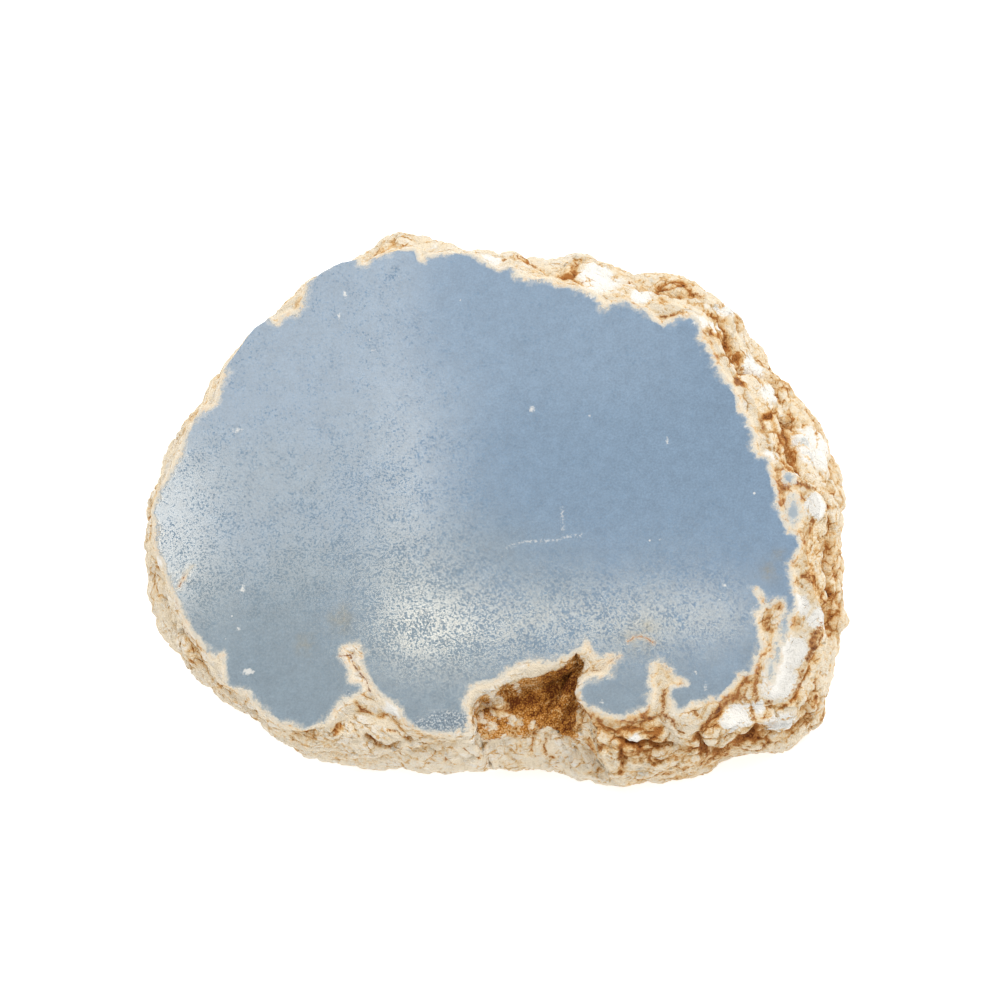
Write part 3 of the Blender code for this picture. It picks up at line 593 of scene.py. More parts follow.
    def unrolled(self, places: Array, degrees: float, depth: float) -> Array:
        """Lay the side wall flat round one spot of it: along the outline, and down from the spot.

        Args:
            places: Places on the wall, with x, y, z along the last axis.
            degrees: The spot's angle, anticlockwise from +X.
            depth: The spot's depth below the polished face.

        Returns:
            For each place, how far round and how far up it lies from the spot, in millimetres.
        """
        turn = np.arctan2(places[..., 1], places[..., 0]) - math.radians(degrees)
        turn = (turn + math.pi) % (2.0 * math.pi) - math.pi
        along = turn * np.hypot(places[..., 0], places[..., 1])
        return np.stack([along, places[..., 2] - self.thickness + depth], axis=-1)

    def to_runs(self, places: Array, runs: tuple[Run, ...]) -> Array:
        """Distance along the wall from places to the nearest of some runs of degrees and depth.

        Args:
            places: Places on the wall, with x, y, z along the last axis.
            runs: The runs.

        Returns:
            The distance of each place, in millimetres.
        """
        nearest = np.full(places.shape[:-1], 99.0)
        for run in runs:
            for start, end in zip(run, run[1:]):
                here, there = self.unrolled(places, *start), self.unrolled(places, *end)
                step = here - there
                share = (here * step).sum(-1) / np.maximum((step**2).sum(-1), 1e-9)
                gap = here - np.clip(share, 0.0, 1.0)[..., None] * step
                nearest = np.minimum(nearest, np.linalg.norm(gap, axis=-1))
        return nearest

    def knobs(self, places: Array) -> Array:
        """Height of the larger knobs: each is its height times (1 less its distance in radii, squared), to the 1.5."""
        total = np.zeros(places.shape[:-1])
        for degrees, depth, radius, height in KNOBS:
            apart = self.unrolled(places, degrees, depth)
            total += height * np.clip(1.0 - (apart**2).sum(-1) / radius**2, 0.0, 1.0) ** 1.5
        return total

    def vug_knobs(self, places: Array) -> Array:
        """Height of the vug's cream knobs, shaped as the larger knobs are."""
        total = np.zeros(places.shape[:-1])
        for x, y, radius, height in VUG_KNOBS:
            apart = (places[..., 0] - x) ** 2 + (places[..., 1] - y) ** 2
            total += height * np.clip(1.0 - apart / radius**2, 0.0, 1.0) ** 1.5
        return total

    def squeezed(self, places: Array) -> Array:
        """Stretch places away from the circle of RIM_RADIUS, by SQUEEZE, so that a pattern on them is squeezed."""
        reach = np.maximum(np.hypot(places[..., 0], places[..., 1]), 1.0)[..., None]
        moved = places.copy()
        moved[..., :2] *= 1.0 + (SQUEEZE - 1.0) * (1.0 - RIM_RADIUS / reach)
        return moved

    def rippled(self, places: Array, wide: float) -> Array:
        """Bend places by soft noise of three sizes, so that what follows them looks grown.

        Args:
            places: Places, with x, y, z along the last axis.
            wide: How far the widest noise moves them.

        Returns:
            The places, moved.
        """
        moved = places.copy()
        for spacing, reach, seed in ((9.0, wide, 11), (2.4, 0.55, 14), (0.9, 0.2, 61)):
            moved += reach * np.stack([smooth_noise(places, spacing, seed + axis) for axis in range(3)], axis=-1)
        return moved

    def cracked(self, places: Array, outward: Array) -> Array:
        """How deep in a crack places are: 1 on its run, 0 at twice its half width, and down to -1 beyond.

        Args:
            places: Places on the stone, with x, y, z along the last axis.
            outward: The unit direction square to the stone's broad form at each place.

        Returns:
            The value of each place.
        """
        bent = self.rippled(places, 0.0)
        bent[..., 2] = self.thickness - bent[..., 2]
        square = outward * np.array((1.0, 1.0, -1.0))
        inside = [1.0 - 0.5 * to_stretches(bent, np.array(run), square) / half for run, half in CRACKS]
        return np.clip(np.max(inside, axis=0), -1.0, 1.0)

    def near_patches(self, places: Array, patches: tuple[Patch, ...]) -> Array:
        """How near places are to the middle of a patch: from 1 there to 0 at 1.3 times its radius."""
        bent = self.rippled(places, 0.0)
        bent[..., 2] = self.thickness - bent[..., 2]
        nearness = []
        for *middle, radius in patches:
            nearness.append(1.3 - np.linalg.norm(bent - np.array(middle), axis=-1) / radius)
        return eased(np.max(nearness, axis=0))

    def grain(self, places: Array) -> tuple[Array, Array, Array]:
        """The rind's grain: lumps upon lumps with seams between them, as 0.3 less the square of a seed's distance.

        Args:
            places: Places, with x, y, z along the last axis.

        Returns:
            The height of the large lumps, the height of the finer grain, and the creases, from 0 to 1.
        """
        bent = places + 1.6 * np.stack([smooth_noise(places, 9.0, seed) for seed in (11, 12, 13)], axis=-1)
        bent, rippled = self.squeezed(bent), self.squeezed(self.rippled(places, 1.6))
        large = cells(bent, self.lump_spacing, 21)[0]
        small, beside = cells(rippled, self.small_lump_spacing, 31)
        crumb, by_crumb = cells(rippled, self.crumb_spacing, 41)
        broken = eased(0.55 + 0.8 * smooth_noise(places, 4.5, 18))
        seams = broken * (1.0 - eased((beside - small) / self.seam_width))
        nicks = (1.0 - broken) * (1.0 - eased((by_crumb - crumb) / self.seam_width))
        fine = self.small_lump_height * (0.3 - small**2)
        fine += self.crumb_height * (np.minimum(by_crumb - crumb, 0.5) - 0.25)
        fine += 0.16 * smooth_noise(places, 0.8, 17) - self.seam_depth * (seams + 0.4 * nicks)
        creases = np.maximum(seams, 0.45 * nicks) + 1.3 * np.clip(large**2 - 0.38, 0.0, 0.4)
        return self.lump_height * (0.3 - large**2), fine, np.clip(creases, 0.0, 1.0)

    def relief(self, places: Array, outward: Array) -> tuple[Array, Array, Array]:
        """How far the side wall stands out: its grain and knobs, less the furrows and cracks.

        Args:
            places: Places on the wall, with x, y, z along the last axis.
            outward: The unit direction square to the wall at each place.

        Returns:
            The height of each place's broad form, its fine height, and how deep in a crease it is.
        """
        broad, fine, creases = self.grain(places)
        near_furrow = self.to_runs(self.rippled(places, 1.6), FURROWS)
        cracks = self.cracked(places, outward)
        uneven = 1.0 + 0.5 * smooth_noise(places, 2.0, 19)
        furrows = uneven * (1.0 - eased(near_furrow / self.furrow_width))
        fine = fine - self.furrow_depth * furrows - self.crack_depth * eased(cracks)
        creases = np.max([creases, np.clip(furrows, 0.0, 1.0)], axis=0)
        return broad + self.knobs(places), fine, creases

    def outward_directions(self, side: Array) -> Array:
        """Unit directions square to the side wall: the cross product of its steps down and round."""
        around = np.roll(side, -1, axis=0) - np.roll(side, 1, axis=0)
        square = np.cross(np.gradient(side, axis=1), around)
        return square / np.maximum(np.linalg.norm(square, axis=-1, keepdims=True), 1e-9)

    def rough_side(self) -> tuple[Array, Array, Array]:
        """Work out the side wall with its lumps. The cut faces trim them, so their own rows move sideways only.

        Returns:
            Places as columns, rows and x, y, z, how deep in a crease each is, and how far in the vug.
        """
        side, in_vug = self.bare_side()
        depth = self.thickness - side[..., 2]
        near_cut = np.minimum(depth, self.thickness - depth)
        held = self.edge_share + (1.0 - self.edge_share) * eased(near_cut / self.edge_fade)
        outward = self.outward_directions(side)
        broad, fine, creases = self.relief(side, outward)
        outer = (broad + fine) * held * (1.0 - in_vug)
        inner = in_vug * eased(depth / 2.0) * (self.vug_relief * fine + 0.15 * broad)
        lifted = in_vug * eased((depth - 2.0) / 2.0) * self.vug_knobs(side)
        moved = side + outward * (outer + inner)[..., None] + UP * lifted[..., None]
        moved[..., 2] = np.clip(moved[..., 2], 0.05, self.thickness - 0.02)
        moved[:, 0, 2] = self.thickness
        moved[:, -1, 2] = 0.0
        return moved, creases, in_vug


@dataclass(frozen=True)
class Graph:
    """A material's node tree."""

    tree: bpy.types.NodeTree

    def add(self, kind: str, inputs: dict | None = None, output: int = 0, **settings) -> bpy.types.NodeSocket:
        """Add a node with its settings and links.

        Args:
            kind: The node's type, without its ShaderNode prefix.
            inputs: A value or another node's output for each input, by its name or number.
            output: The number of the output to give back.
            **settings: The node's own settings.

        Returns:
            That output of the new node.
        """
        made = self.tree.nodes.new(f"ShaderNode{kind}")
        for name, value in settings.items():
            setattr(made, name, value)
        for key, value in (inputs or {}).items():
            if isinstance(value, bpy.types.NodeSocket):
                self.tree.links.new(value, made.inputs[key])
            else:
                made.inputs[key].default_value = value
        return made.outputs[output]


class Finish:
    """A procedural material with a Principled shader, whose patterns are laid out in millimetres."""

    name: str
    roughness: float
    ior: float
    specular: float = 0.5

    def start(self) -> tuple[bpy.types.Material, Graph, bpy.types.Node, bpy.types.NodeSocket]:
        """Make the bare material.

        Returns:
            The material, its node tree, its shader, and Object coordinates in millimetres.
        """
        material = bpy.data.materials.new(self.name)
        material.use_nodes = True
        graph = Graph(material.node_tree)
        shader = material.node_tree.nodes["Principled BSDF"]
        shader.inputs["Roughness"].default_value = self.roughness
        shader.inputs["IOR"].default_value = self.ior
        shader.inputs["Specular IOR Level"].default_value = self.specular
        place = graph.add("TexCoord", output=3)
        scale = (1.0 / MM, 1.0 / MM, 1.0 / MM)
        return material, graph, shader, graph.add("Mapping", {"Vector": place, "Scale": scale})


@dataclass(frozen=True)
class WeatheredRind(Finish):
    """Gypsum that anhydrite turns into where it meets water, left as found: the eye gets chalky cream and white lumps
    with rust-brown iron stain in their creases, and a sugary brown lining in the vug. It is porous and powdery,
    so that most of its gloss is lost."""

    name: str = "weathered_gypsum_rind"
    roughness: float = 0.8
    ior: float = 1.52
    specular: float = 0.2
    cream: str = "#EFE0C6"
    white: str = "#F2EFE8"
    buff: str = "#E6C898"
    gold: str = "#D2A162"
    rust: str = "#AE6F33"
    dark_rust: str = "#6A340B"
    grey: str = "#AEB3B2"
    amber: str = "#CF8C3A"
    blotch: float = 3.0
    crumb: float = 0.75
    sugar: float = 0.34
    plate: float = 3.0
    middle_height: float = 0.75

    def look(self, graph: Graph, place: bpy.types.NodeSocket) -> tuple[bpy.types.NodeSocket, bpy.types.NodeSocket]:
        """Add the nodes that paint the rind.

        Args:
            graph: The node tree to add to.
            place: Coordinates in millimetres.

        Returns:
            The rind's colour, and the height of its finest grain.
        """
        level = graph.add("VectorMath", {0: place, 1: (1.0, 1.0, 0.0)}, operation="MULTIPLY")
        beyond = graph.add("VectorMath", {0: level}, 1, operation="LENGTH")
        beyond = graph.add("Math", {0: beyond, 1: SQUEEZE - 1.0, 2: (1.0 - SQUEEZE) * RIM_RADIUS},
                           operation="MULTIPLY_ADD")
        outward = graph.add("VectorMath", {0: level}, operation="NORMALIZE")
        outward = graph.add("VectorMath", {0: outward, "Scale": beyond}, operation="SCALE")
        layered = graph.add("VectorMath", {0: place, 1: (1.0, 1.0, SQUEEZE), 2: outward}, operation="MULTIPLY_ADD")
        blotch = graph.add("TexNoise", {"Vector": layered, "Scale": 1.0 / self.blotch, "Detail": 7.0,
                                        "Roughness": 0.7})
        warp = graph.add("TexNoise", {"Vector": layered, "Scale": 0.6, "Detail": 3.0}, 1)
        warped = graph.add("VectorMath", {0: warp, 1: (2.0, 2.0, 2.0), 2: layered}, operation="MULTIPLY_ADD")
        to_seam = graph.add("TexVoronoi", {"Vector": warped, "Scale": 1.0 / self.plate},
                            feature="DISTANCE_TO_EDGE")
        seam = graph.add("MapRange", {0: to_seam, 1: 0.0, 2: 0.1, 3: 1.0, 4: 0.0})
        open_seam = graph.add("MapRange", {0: blotch, 1: 0.4, 2: 0.6})
        seam = graph.add("Math", {0: seam, 1: open_seam}, operation="MULTIPLY")
        crumb = graph.add("TexNoise", {"Vector": place, "Scale": 1.0 / self.crumb, "Detail": 4.0,
                                       "Roughness": 0.7})
        sugar = graph.add("TexVoronoi", {"Vector": place, "Scale": 1.0 / self.sugar})
        crease = graph.add("Attribute", output=2, attribute_name="crease")
        rust = graph.add("Attribute", output=2, attribute_name="rust")
        grey = graph.add("Attribute", output=2, attribute_name="grey")
        white = graph.add("Attribute", output=2, attribute_name="white")
        lined = graph.add("Attribute", output=2, attribute_name="lined")

        pale = graph.add("Math", {0: white, 1: 0.5, 2: blotch}, operation="MULTIPLY_ADD")
        pale = graph.add("MapRange", {0: pale, 1: 0.45, 2: 0.64})
        colour = graph.add("Mix", {0: pale, 6: linear(self.cream), 7: linear(self.white)}, 2, data_type="RGBA")
        patch = graph.add("MapRange", {0: crumb, 1: 0.35, 2: 0.6, 3: 0.15, 4: 0.8})
        patch = graph.add("Math", {0: grey, 1: patch}, operation="MULTIPLY")
        colour = graph.add("Mix", {0: patch, 6: colour, 7: linear(self.grey)}, 2, data_type="RGBA")

        seep = graph.add("Math", {0: crease, 1: 1.6, 2: rust}, operation="MULTIPLY_ADD")
        seep = graph.add("Math", {0: blotch, 1: 3.0, 2: seep}, operation="MULTIPLY_ADD")
        seep = graph.add("Math", {0: crumb, 1: 1.8, 2: seep}, operation="MULTIPLY_ADD")
        seep = graph.add("Math", {0: seam, 1: 0.9, 2: seep}, operation="MULTIPLY_ADD")
        seep = graph.add("Math", {0: white, 1: -1.3, 2: seep}, operation="MULTIPLY_ADD")
        for tint, low, high, most in ((self.buff, 2.6, 3.3, 0.85), (self.gold, 3.15, 3.75, 0.9),
                                      (self.rust, 3.7, 4.2, 1.0), (self.dark_rust, 4.5, 5.0, 1.0)):
            share = graph.add("MapRange", {0: seep, 1: low, 2: high, 4: most}, interpolation_type="SMOOTHSTEP")
            colour = graph.add("Mix", {0: share, 6: colour, 7: linear(tint)}, 2, data_type="RGBA")

        crack = graph.add("Attribute", output=2, attribute_name="crack")
        crack = graph.add("Math", {0: crumb, 1: 2.0, 2: crack}, operation="MULTIPLY_ADD")
        crack = graph.add("Math", {0: blotch, 1: 1.2, 2: crack}, operation="MULTIPLY_ADD")
        crack = graph.add("Math", {0: white, 1: -0.25, 2: crack}, operation="MULTIPLY_ADD")
        for tint, low, high, most in ((self.rust, 2.15, 2.5, 0.85), (self.dark_rust, 2.4, 2.75, 0.85)):
            share = graph.add("MapRange", {0: crack, 1: low, 2: high, 4: most}, interpolation_type="SMOOTHSTEP")
            colour = graph.add("Mix", {0: share, 6: colour, 7: linear(tint)}, 2, data_type="RGBA")

        # Painted shade in the vug's lining: the crease value, with the painted shadow spots in it, darkens it towards
        # dark rust. The crumb, sugar and blotch noise give it its own grain of dark and buff.
        shade = graph.add("Math", {0: crease, 1: -0.5, 2: crumb}, operation="MULTIPLY_ADD")
        shade = graph.add("Math", {0: sugar, 1: -0.9, 2: shade}, operation="MULTIPLY_ADD")
        shade = graph.add("Math", {0: blotch, 1: 1.2, 2: shade}, operation="MULTIPLY_ADD")
        deep = graph.add("MapRange", {0: shade, 1: 0.02, 2: 0.6})
        lining = graph.add("Mix", {0: deep, 6: linear(self.dark_rust), 7: linear(self.amber)}, 2, data_type="RGBA")
        crystal = graph.add("MapRange", {0: shade, 1: 0.55, 2: 0.85, 4: 0.85})
        lining = graph.add("Mix", {0: crystal, 6: lining, 7: linear(self.buff)}, 2, data_type="RGBA")
        ragged = graph.add("MapRange", {0: blotch, 1: 0.3, 2: 0.7, 3: -0.45, 4: 0.45})
        lined = graph.add("Math", {0: lined, 1: ragged}, operation="ADD")
        lined = graph.add("MapRange", {0: lined, 1: 0.4, 2: 0.6}, interpolation_type="SMOOTHSTEP")
        colour = graph.add("Mix", {0: lined, 6: colour, 7: lining}, 2, data_type="RGBA")

        height = graph.add("Math", {0: crumb, 1: 0.8, 2: blotch}, operation="MULTIPLY_ADD")
        height = graph.add("Math", {0: sugar, 1: -0.3, 2: height}, operation="MULTIPLY_ADD")
        height = graph.add("Math", {0: seam, 1: -0.35, 2: height}, operation="MULTIPLY_ADD")
        height = graph.add("Math", {0: height, 1: self.middle_height}, operation="SUBTRACT")
        smooth = graph.add("MapRange", {0: white, 3: 1.0, 4: 0.7})
        return colour, graph.add("Math", {0: height, 1: smooth}, operation="MULTIPLY")

    def make(self) -> bpy.types.Material:
        """Build the material."""
        material, graph, shader, place = self.start()
        colour, height = self.look(graph, place)
        graph.tree.links.new(colour, shader.inputs["Base Color"])
        rough = graph.add("Bump", {"Strength": 0.9, "Distance": 0.9 * MM, "Height": height})
        graph.tree.links.new(rough, shader.inputs["Normal"])
        return material


@dataclass(frozen=True)
class PolishedAngelite(Finish):
    """Angelite (blue anhydrite) sawn, ground and polished to a satin: the eye gets a cool, dusty blue with a soft,
    speckled gloss, a feathered cream edge of gypsum, white specks and fine rust veins."""

    name: str = "polished_angelite"
    roughness: float = 0.1
    ior: float = 1.57
    deep_blue: str = "#6D8399"
    grey_blue: str = "#75848F"
    cream: str = "#CEC7B8"
    white: str = "#DEDBD4"
    peach: str = "#CFAA80"
    dark_blue: str = "#42505E"
    rust: str = "#7C481E"
    olive: str = "#85795A"
    dusted: str = "#EEEEEE"
    tooth: float = 1.3
    small_tooth: float = 0.5
    grain: float = 0.31
    dust: float = 0.38
    speck_spacing: float = 6.5
    frayed_spacing: float = 5.0
    knee: tuple[float, float, float] = (-13.0, -27.0, 24.0)
    rind: WeatheredRind = WeatheredRind()

    def make(self) -> bpy.types.Material:
        """Build the material."""
        material, graph, shader, place = self.start()
        blue_depth = graph.add("Attribute", output=2, attribute_name="blue")
        teeth = graph.add("TexNoise", {"Vector": place, "Scale": 1.0 / self.tooth, "Detail": 7.0, "Roughness": 0.72})
        shift = graph.add("MapRange", {0: teeth, 1: 0.3, 2: 0.7, 3: -0.9, 4: 0.9})
        frayed = graph.add("TexNoise", {"Vector": place, "Scale": 1.0 / self.frayed_spacing})
        frayed = graph.add("MapRange", {0: frayed, 1: 0.35, 2: 0.65, 3: 0.25, 4: 1.25})
        edge = graph.add("Math", {0: shift, 1: frayed, 2: blue_depth}, operation="MULTIPLY_ADD")
        is_blue = graph.add("MapRange", {0: edge, 1: -0.3, 2: 0.25}, interpolation_type="SMOOTHSTEP")

        broad = graph.add("TexNoise", {"Vector": place, "Scale": 1.0 / 28.0, "Detail": 2.0})
        across = graph.add("SeparateXYZ", {0: place})
        along = graph.add("SeparateXYZ", {0: place}, output=1)
        slant = graph.add("Math", {0: across, 1: 0.35, 2: along}, operation="MULTIPLY_ADD")
        drift = graph.add("MapRange", {0: broad, 1: 0.3, 2: 0.7, 3: -12.0, 4: 12.0})
        slant = graph.add("Math", {0: slant, 1: drift}, operation="ADD")
        upper = graph.add("MapRange", {0: slant, 1: -42.0, 2: 6.0}, interpolation_type="SMOOTHSTEP")
        blue = graph.add("Mix", {0: upper, 6: linear(self.grey_blue), 7: linear(self.deep_blue)}, 2,
                         data_type="RGBA")

        mottle = graph.add("TexNoise", {"Vector": place, "Scale": 1.0 / 2.3, "Detail": 6.0, "Roughness": 0.72})
        shade = graph.add("MapRange", {0: mottle, 1: 0.3, 2: 0.7, 3: 0.89, 4: 1.11})
        blue = graph.add("Mix", {0: 1.0, 6: blue, 7: shade}, 2, data_type="RGBA", blend_type="MULTIPLY")
        dust = graph.add("TexNoise", {"Vector": place, "Scale": 1.0 / self.dust, "Detail": 2.0})
        shade = graph.add("MapRange", {0: dust, 1: 0.3, 2: 0.7, 3: 0.89, 4: 1.11})
        blue = graph.add("Mix", {0: 1.0, 6: blue, 7: shade}, 2, data_type="RGBA", blend_type="MULTIPLY")
        milk = graph.add("TexNoise", {"Vector": place, "Scale": 1.0 / 5.0, "Detail": 4.0})
        reach = graph.add("MapRange", {0: milk, 1: 0.35, 2: 0.7, 3: 0.2, 4: 1.7})
        haze = graph.add("Math", {0: edge, 1: reach}, operation="DIVIDE")
        haze = graph.add("MapRange", {0: haze, 1: 0.0, 2: 1.0, 3: 0.34, 4: 0.0}, interpolation_type="SMOOTHSTEP")
        blue = graph.add("Mix", {0: haze, 6: blue, 7: linear(self.cream)}, 2, data_type="RGBA")

        grey = graph.add("Attribute", output=2, attribute_name="grey")
        grey = graph.add("MapRange", {0: grey, 2: 0.8, 4: 0.5})
        blue = graph.add("Mix", {0: grey, 6: blue, 7: linear(self.rind.grey)}, 2, data_type="RGBA")

        cloud = graph.add("Attribute", output=2, attribute_name="cloud")
        wisps = graph.add("TexNoise", {"Vector": place, "Scale": 1.0 / 2.2, "Detail": 5.0, "Roughness": 0.7})
        wisps = graph.add("MapRange", {0: wisps, 1: 0.38, 2: 0.7, 3: 0.05, 4: 0.75})
        cloud = graph.add("Math", {0: cloud, 1: wisps}, operation="MULTIPLY")
        blue = graph.add("Mix", {0: cloud, 6: blue, 7: linear(self.olive)}, 2, data_type="RGBA")

        cells_of_specks = {"Vector": place, "Scale": 1.0 / self.speck_spacing}
        to_speck = graph.add("TexVoronoi", cells_of_specks)
        pick = graph.add("SeparateColor", {0: graph.add("TexVoronoi", cells_of_specks, 1)})
        size = graph.add("MapRange", {0: pick, 1: 0.3, 2: 1.0, 3: 0.0, 4: 0.05})
        speck = graph.add("Math", {0: size, 1: to_speck}, operation="SUBTRACT")
        speck = graph.add("MapRange", {0: speck, 1: 0.0, 2: 0.02, 4: 0.7})
        blue = graph.add("Mix", {0: speck, 6: blue, 7: linear(self.white)}, 2, data_type="RGBA")

        ragged = graph.add("TexNoise", {"Vector": place, "Scale": 1.0 / self.small_tooth, "Detail": 4.0})
        wander = graph.add("MapRange", {0: ragged, 1: 0.3, 2: 0.7, 3: -0.3, 4: 0.3})
        mark = graph.add("Attribute", output=2, attribute_name="mark")
        mark = graph.add("Math", {0: mark, 1: wander}, operation="ADD")
        mark = graph.add("MapRange", {0: mark, 1: -0.05, 2: 0.4, 4: 0.65}, interpolation_type="SMOOTHSTEP")
        blue = graph.add("Mix", {0: mark, 6: blue, 7: linear(self.white)}, 2, data_type="RGBA")

        scratch = graph.add("Attribute", output=2, attribute_name="scratch")
        dashes = graph.add("MapRange", {0: ragged, 1: 0.48, 2: 0.62, 3: 0.0, 4: 0.45})
        scratch = graph.add("Math", {0: scratch, 1: dashes}, operation="MULTIPLY")
        blue = graph.add("Mix", {0: scratch, 6: blue, 7: linear(self.white)}, 2, data_type="RGBA")

        pitted = graph.add("Attribute", output=2, attribute_name="pitted")
        sugar = graph.add("TexNoise", {"Vector": place, "Scale": 1.0 / 0.36, "Detail": 3.0, "Roughness": 0.7})
        pale = graph.add("MapRange", {0: sugar, 1: 0.54, 2: 0.62, 4: 0.6})
        pale = graph.add("Math", {0: pitted, 1: pale}, operation="MULTIPLY")
        dark = graph.add("MapRange", {0: sugar, 1: 0.42, 2: 0.5, 3: 0.6, 4: 0.0})
        dark = graph.add("Math", {0: pitted, 1: dark}, operation="MULTIPLY")
        blue = graph.add("Mix", {0: pale, 6: blue, 7: linear(self.white)}, 2, data_type="RGBA")
        blue = graph.add("Mix", {0: dark, 6: blue, 7: linear(self.dark_blue)}, 2, data_type="RGBA")

        rind, height = self.rind.look(graph, place)
        fibre = graph.add("TexNoise", {"Vector": place, "Scale": 1.0 / 1.4, "Detail": 7.0, "Roughness": 0.75})
        inward = graph.add("Math", {0: edge, 1: -0.12, 2: fibre}, operation="MULTIPLY_ADD")
        warm = graph.add("MapRange", {0: inward, 1: 0.54, 2: 0.72, 4: 0.9})
        flat = graph.add("Mix", {0: warm, 6: linear(self.cream), 7: linear(self.peach)}, 2, data_type="RGBA")
        rough = graph.add("Attribute", output=2, attribute_name="rough")
        weathered = graph.add("Math", {0: fibre, 1: 1.6, 2: rough}, operation="MULTIPLY_ADD")
        weathered = graph.add("MapRange", {0: weathered, 1: 0.8, 2: 1.2}, interpolation_type="SMOOTHSTEP")
        rind = graph.add("Mix", {0: 1.0, 6: rind, 7: linear(self.dusted)}, 2, data_type="RGBA",
                         blend_type="MULTIPLY")
        cream = graph.add("Mix", {0: weathered, 6: flat, 7: rind}, 2, data_type="RGBA")
        colour = graph.add("Mix", {0: is_blue, 6: cream, 7: blue}, 2, data_type="RGBA")

        vein = graph.add("Attribute", output=2, attribute_name="vein")
        vein = graph.add("Math", {0: wander, 1: 0.35, 2: vein}, operation="MULTIPLY_ADD")
        halo = graph.add("MapRange", {0: vein, 1: -0.6, 2: 0.0, 4: 0.4}, interpolation_type="SMOOTHSTEP")
        halo = graph.add("Math", {0: halo, 1: graph.add("MapRange", {0: ragged, 1: 0.35, 2: 0.6, 3: 0.2})},
                         operation="MULTIPLY")
        colour = graph.add("Mix", {0: halo, 6: colour, 7: linear(self.peach)}, 2, data_type="RGBA")
        core = graph.add("MapRange", {0: vein, 1: -0.05, 2: 0.08, 4: 0.85}, interpolation_type="SMOOTHSTEP")
        colour = graph.add("Mix", {0: core, 6: colour, 7: linear(self.rust)}, 2, data_type="RGBA")
        graph.tree.links.new(colour, shader.inputs["Base Color"])

        pits = graph.add("TexNoise", {"Vector": place, "Scale": 1.0 / self.grain, "Detail": 2.0})
        patches = graph.add("MapRange", {0: milk, 1: 0.3, 2: 0.7, 3: -0.06, 4: 0.06})
        pits = graph.add("Math", {0: pits, 1: patches}, operation="ADD")
        off_knee = graph.add("VectorMath", {0: place, 1: self.knee}, operation="SUBTRACT")
        off_knee = graph.add("VectorMath", {0: off_knee, 1: (0.35, 0.75, 0.0)}, operation="MULTIPLY")
        off_knee = graph.add("VectorMath", {0: off_knee}, 1, operation="LENGTH")
        worn = graph.add("MapRange", {0: off_knee, 1: 8.0, 2: 36.0, 3: 0.03, 4: -0.07})
        pits = graph.add("Math", {0: pits, 1: worn}, operation="ADD")
        pitted_share = graph.add("MapRange", {0: pits, 1: 0.54, 2: 0.61})
        dull = graph.add("MapRange", {0: pitted_share, 3: self.roughness, 4: 0.6})
        sheen = graph.add("MapRange", {0: pitted_share, 3: 0.5, 4: 0.15})
        graph.tree.links.new(sheen, shader.inputs["Specular IOR Level"])
        gloss = graph.add("Mix", {0: is_blue, 2: 0.6, 3: dull}, data_type="FLOAT")
        gloss = graph.add("Mix", {0: rough, 2: gloss, 3: 0.8}, data_type="FLOAT")
        gloss = graph.add("Mix", {0: pitted, 2: gloss, 3: 0.6}, data_type="FLOAT")
        graph.tree.links.new(gloss, shader.inputs["Roughness"])
        bare = graph.add("MapRange", {0: is_blue, 3: 0.45, 4: 0.0})
        bare = graph.add("Math", {0: rough, 1: bare}, operation="MAXIMUM")
        height = graph.add("Math", {0: height, 1: bare}, operation="MULTIPLY")
        dimple = graph.add("Bump", {"Strength": 0.9, "Distance": 0.9 * MM, "Height": height})
        graph.tree.links.new(dimple, shader.inputs["Normal"])
        return material


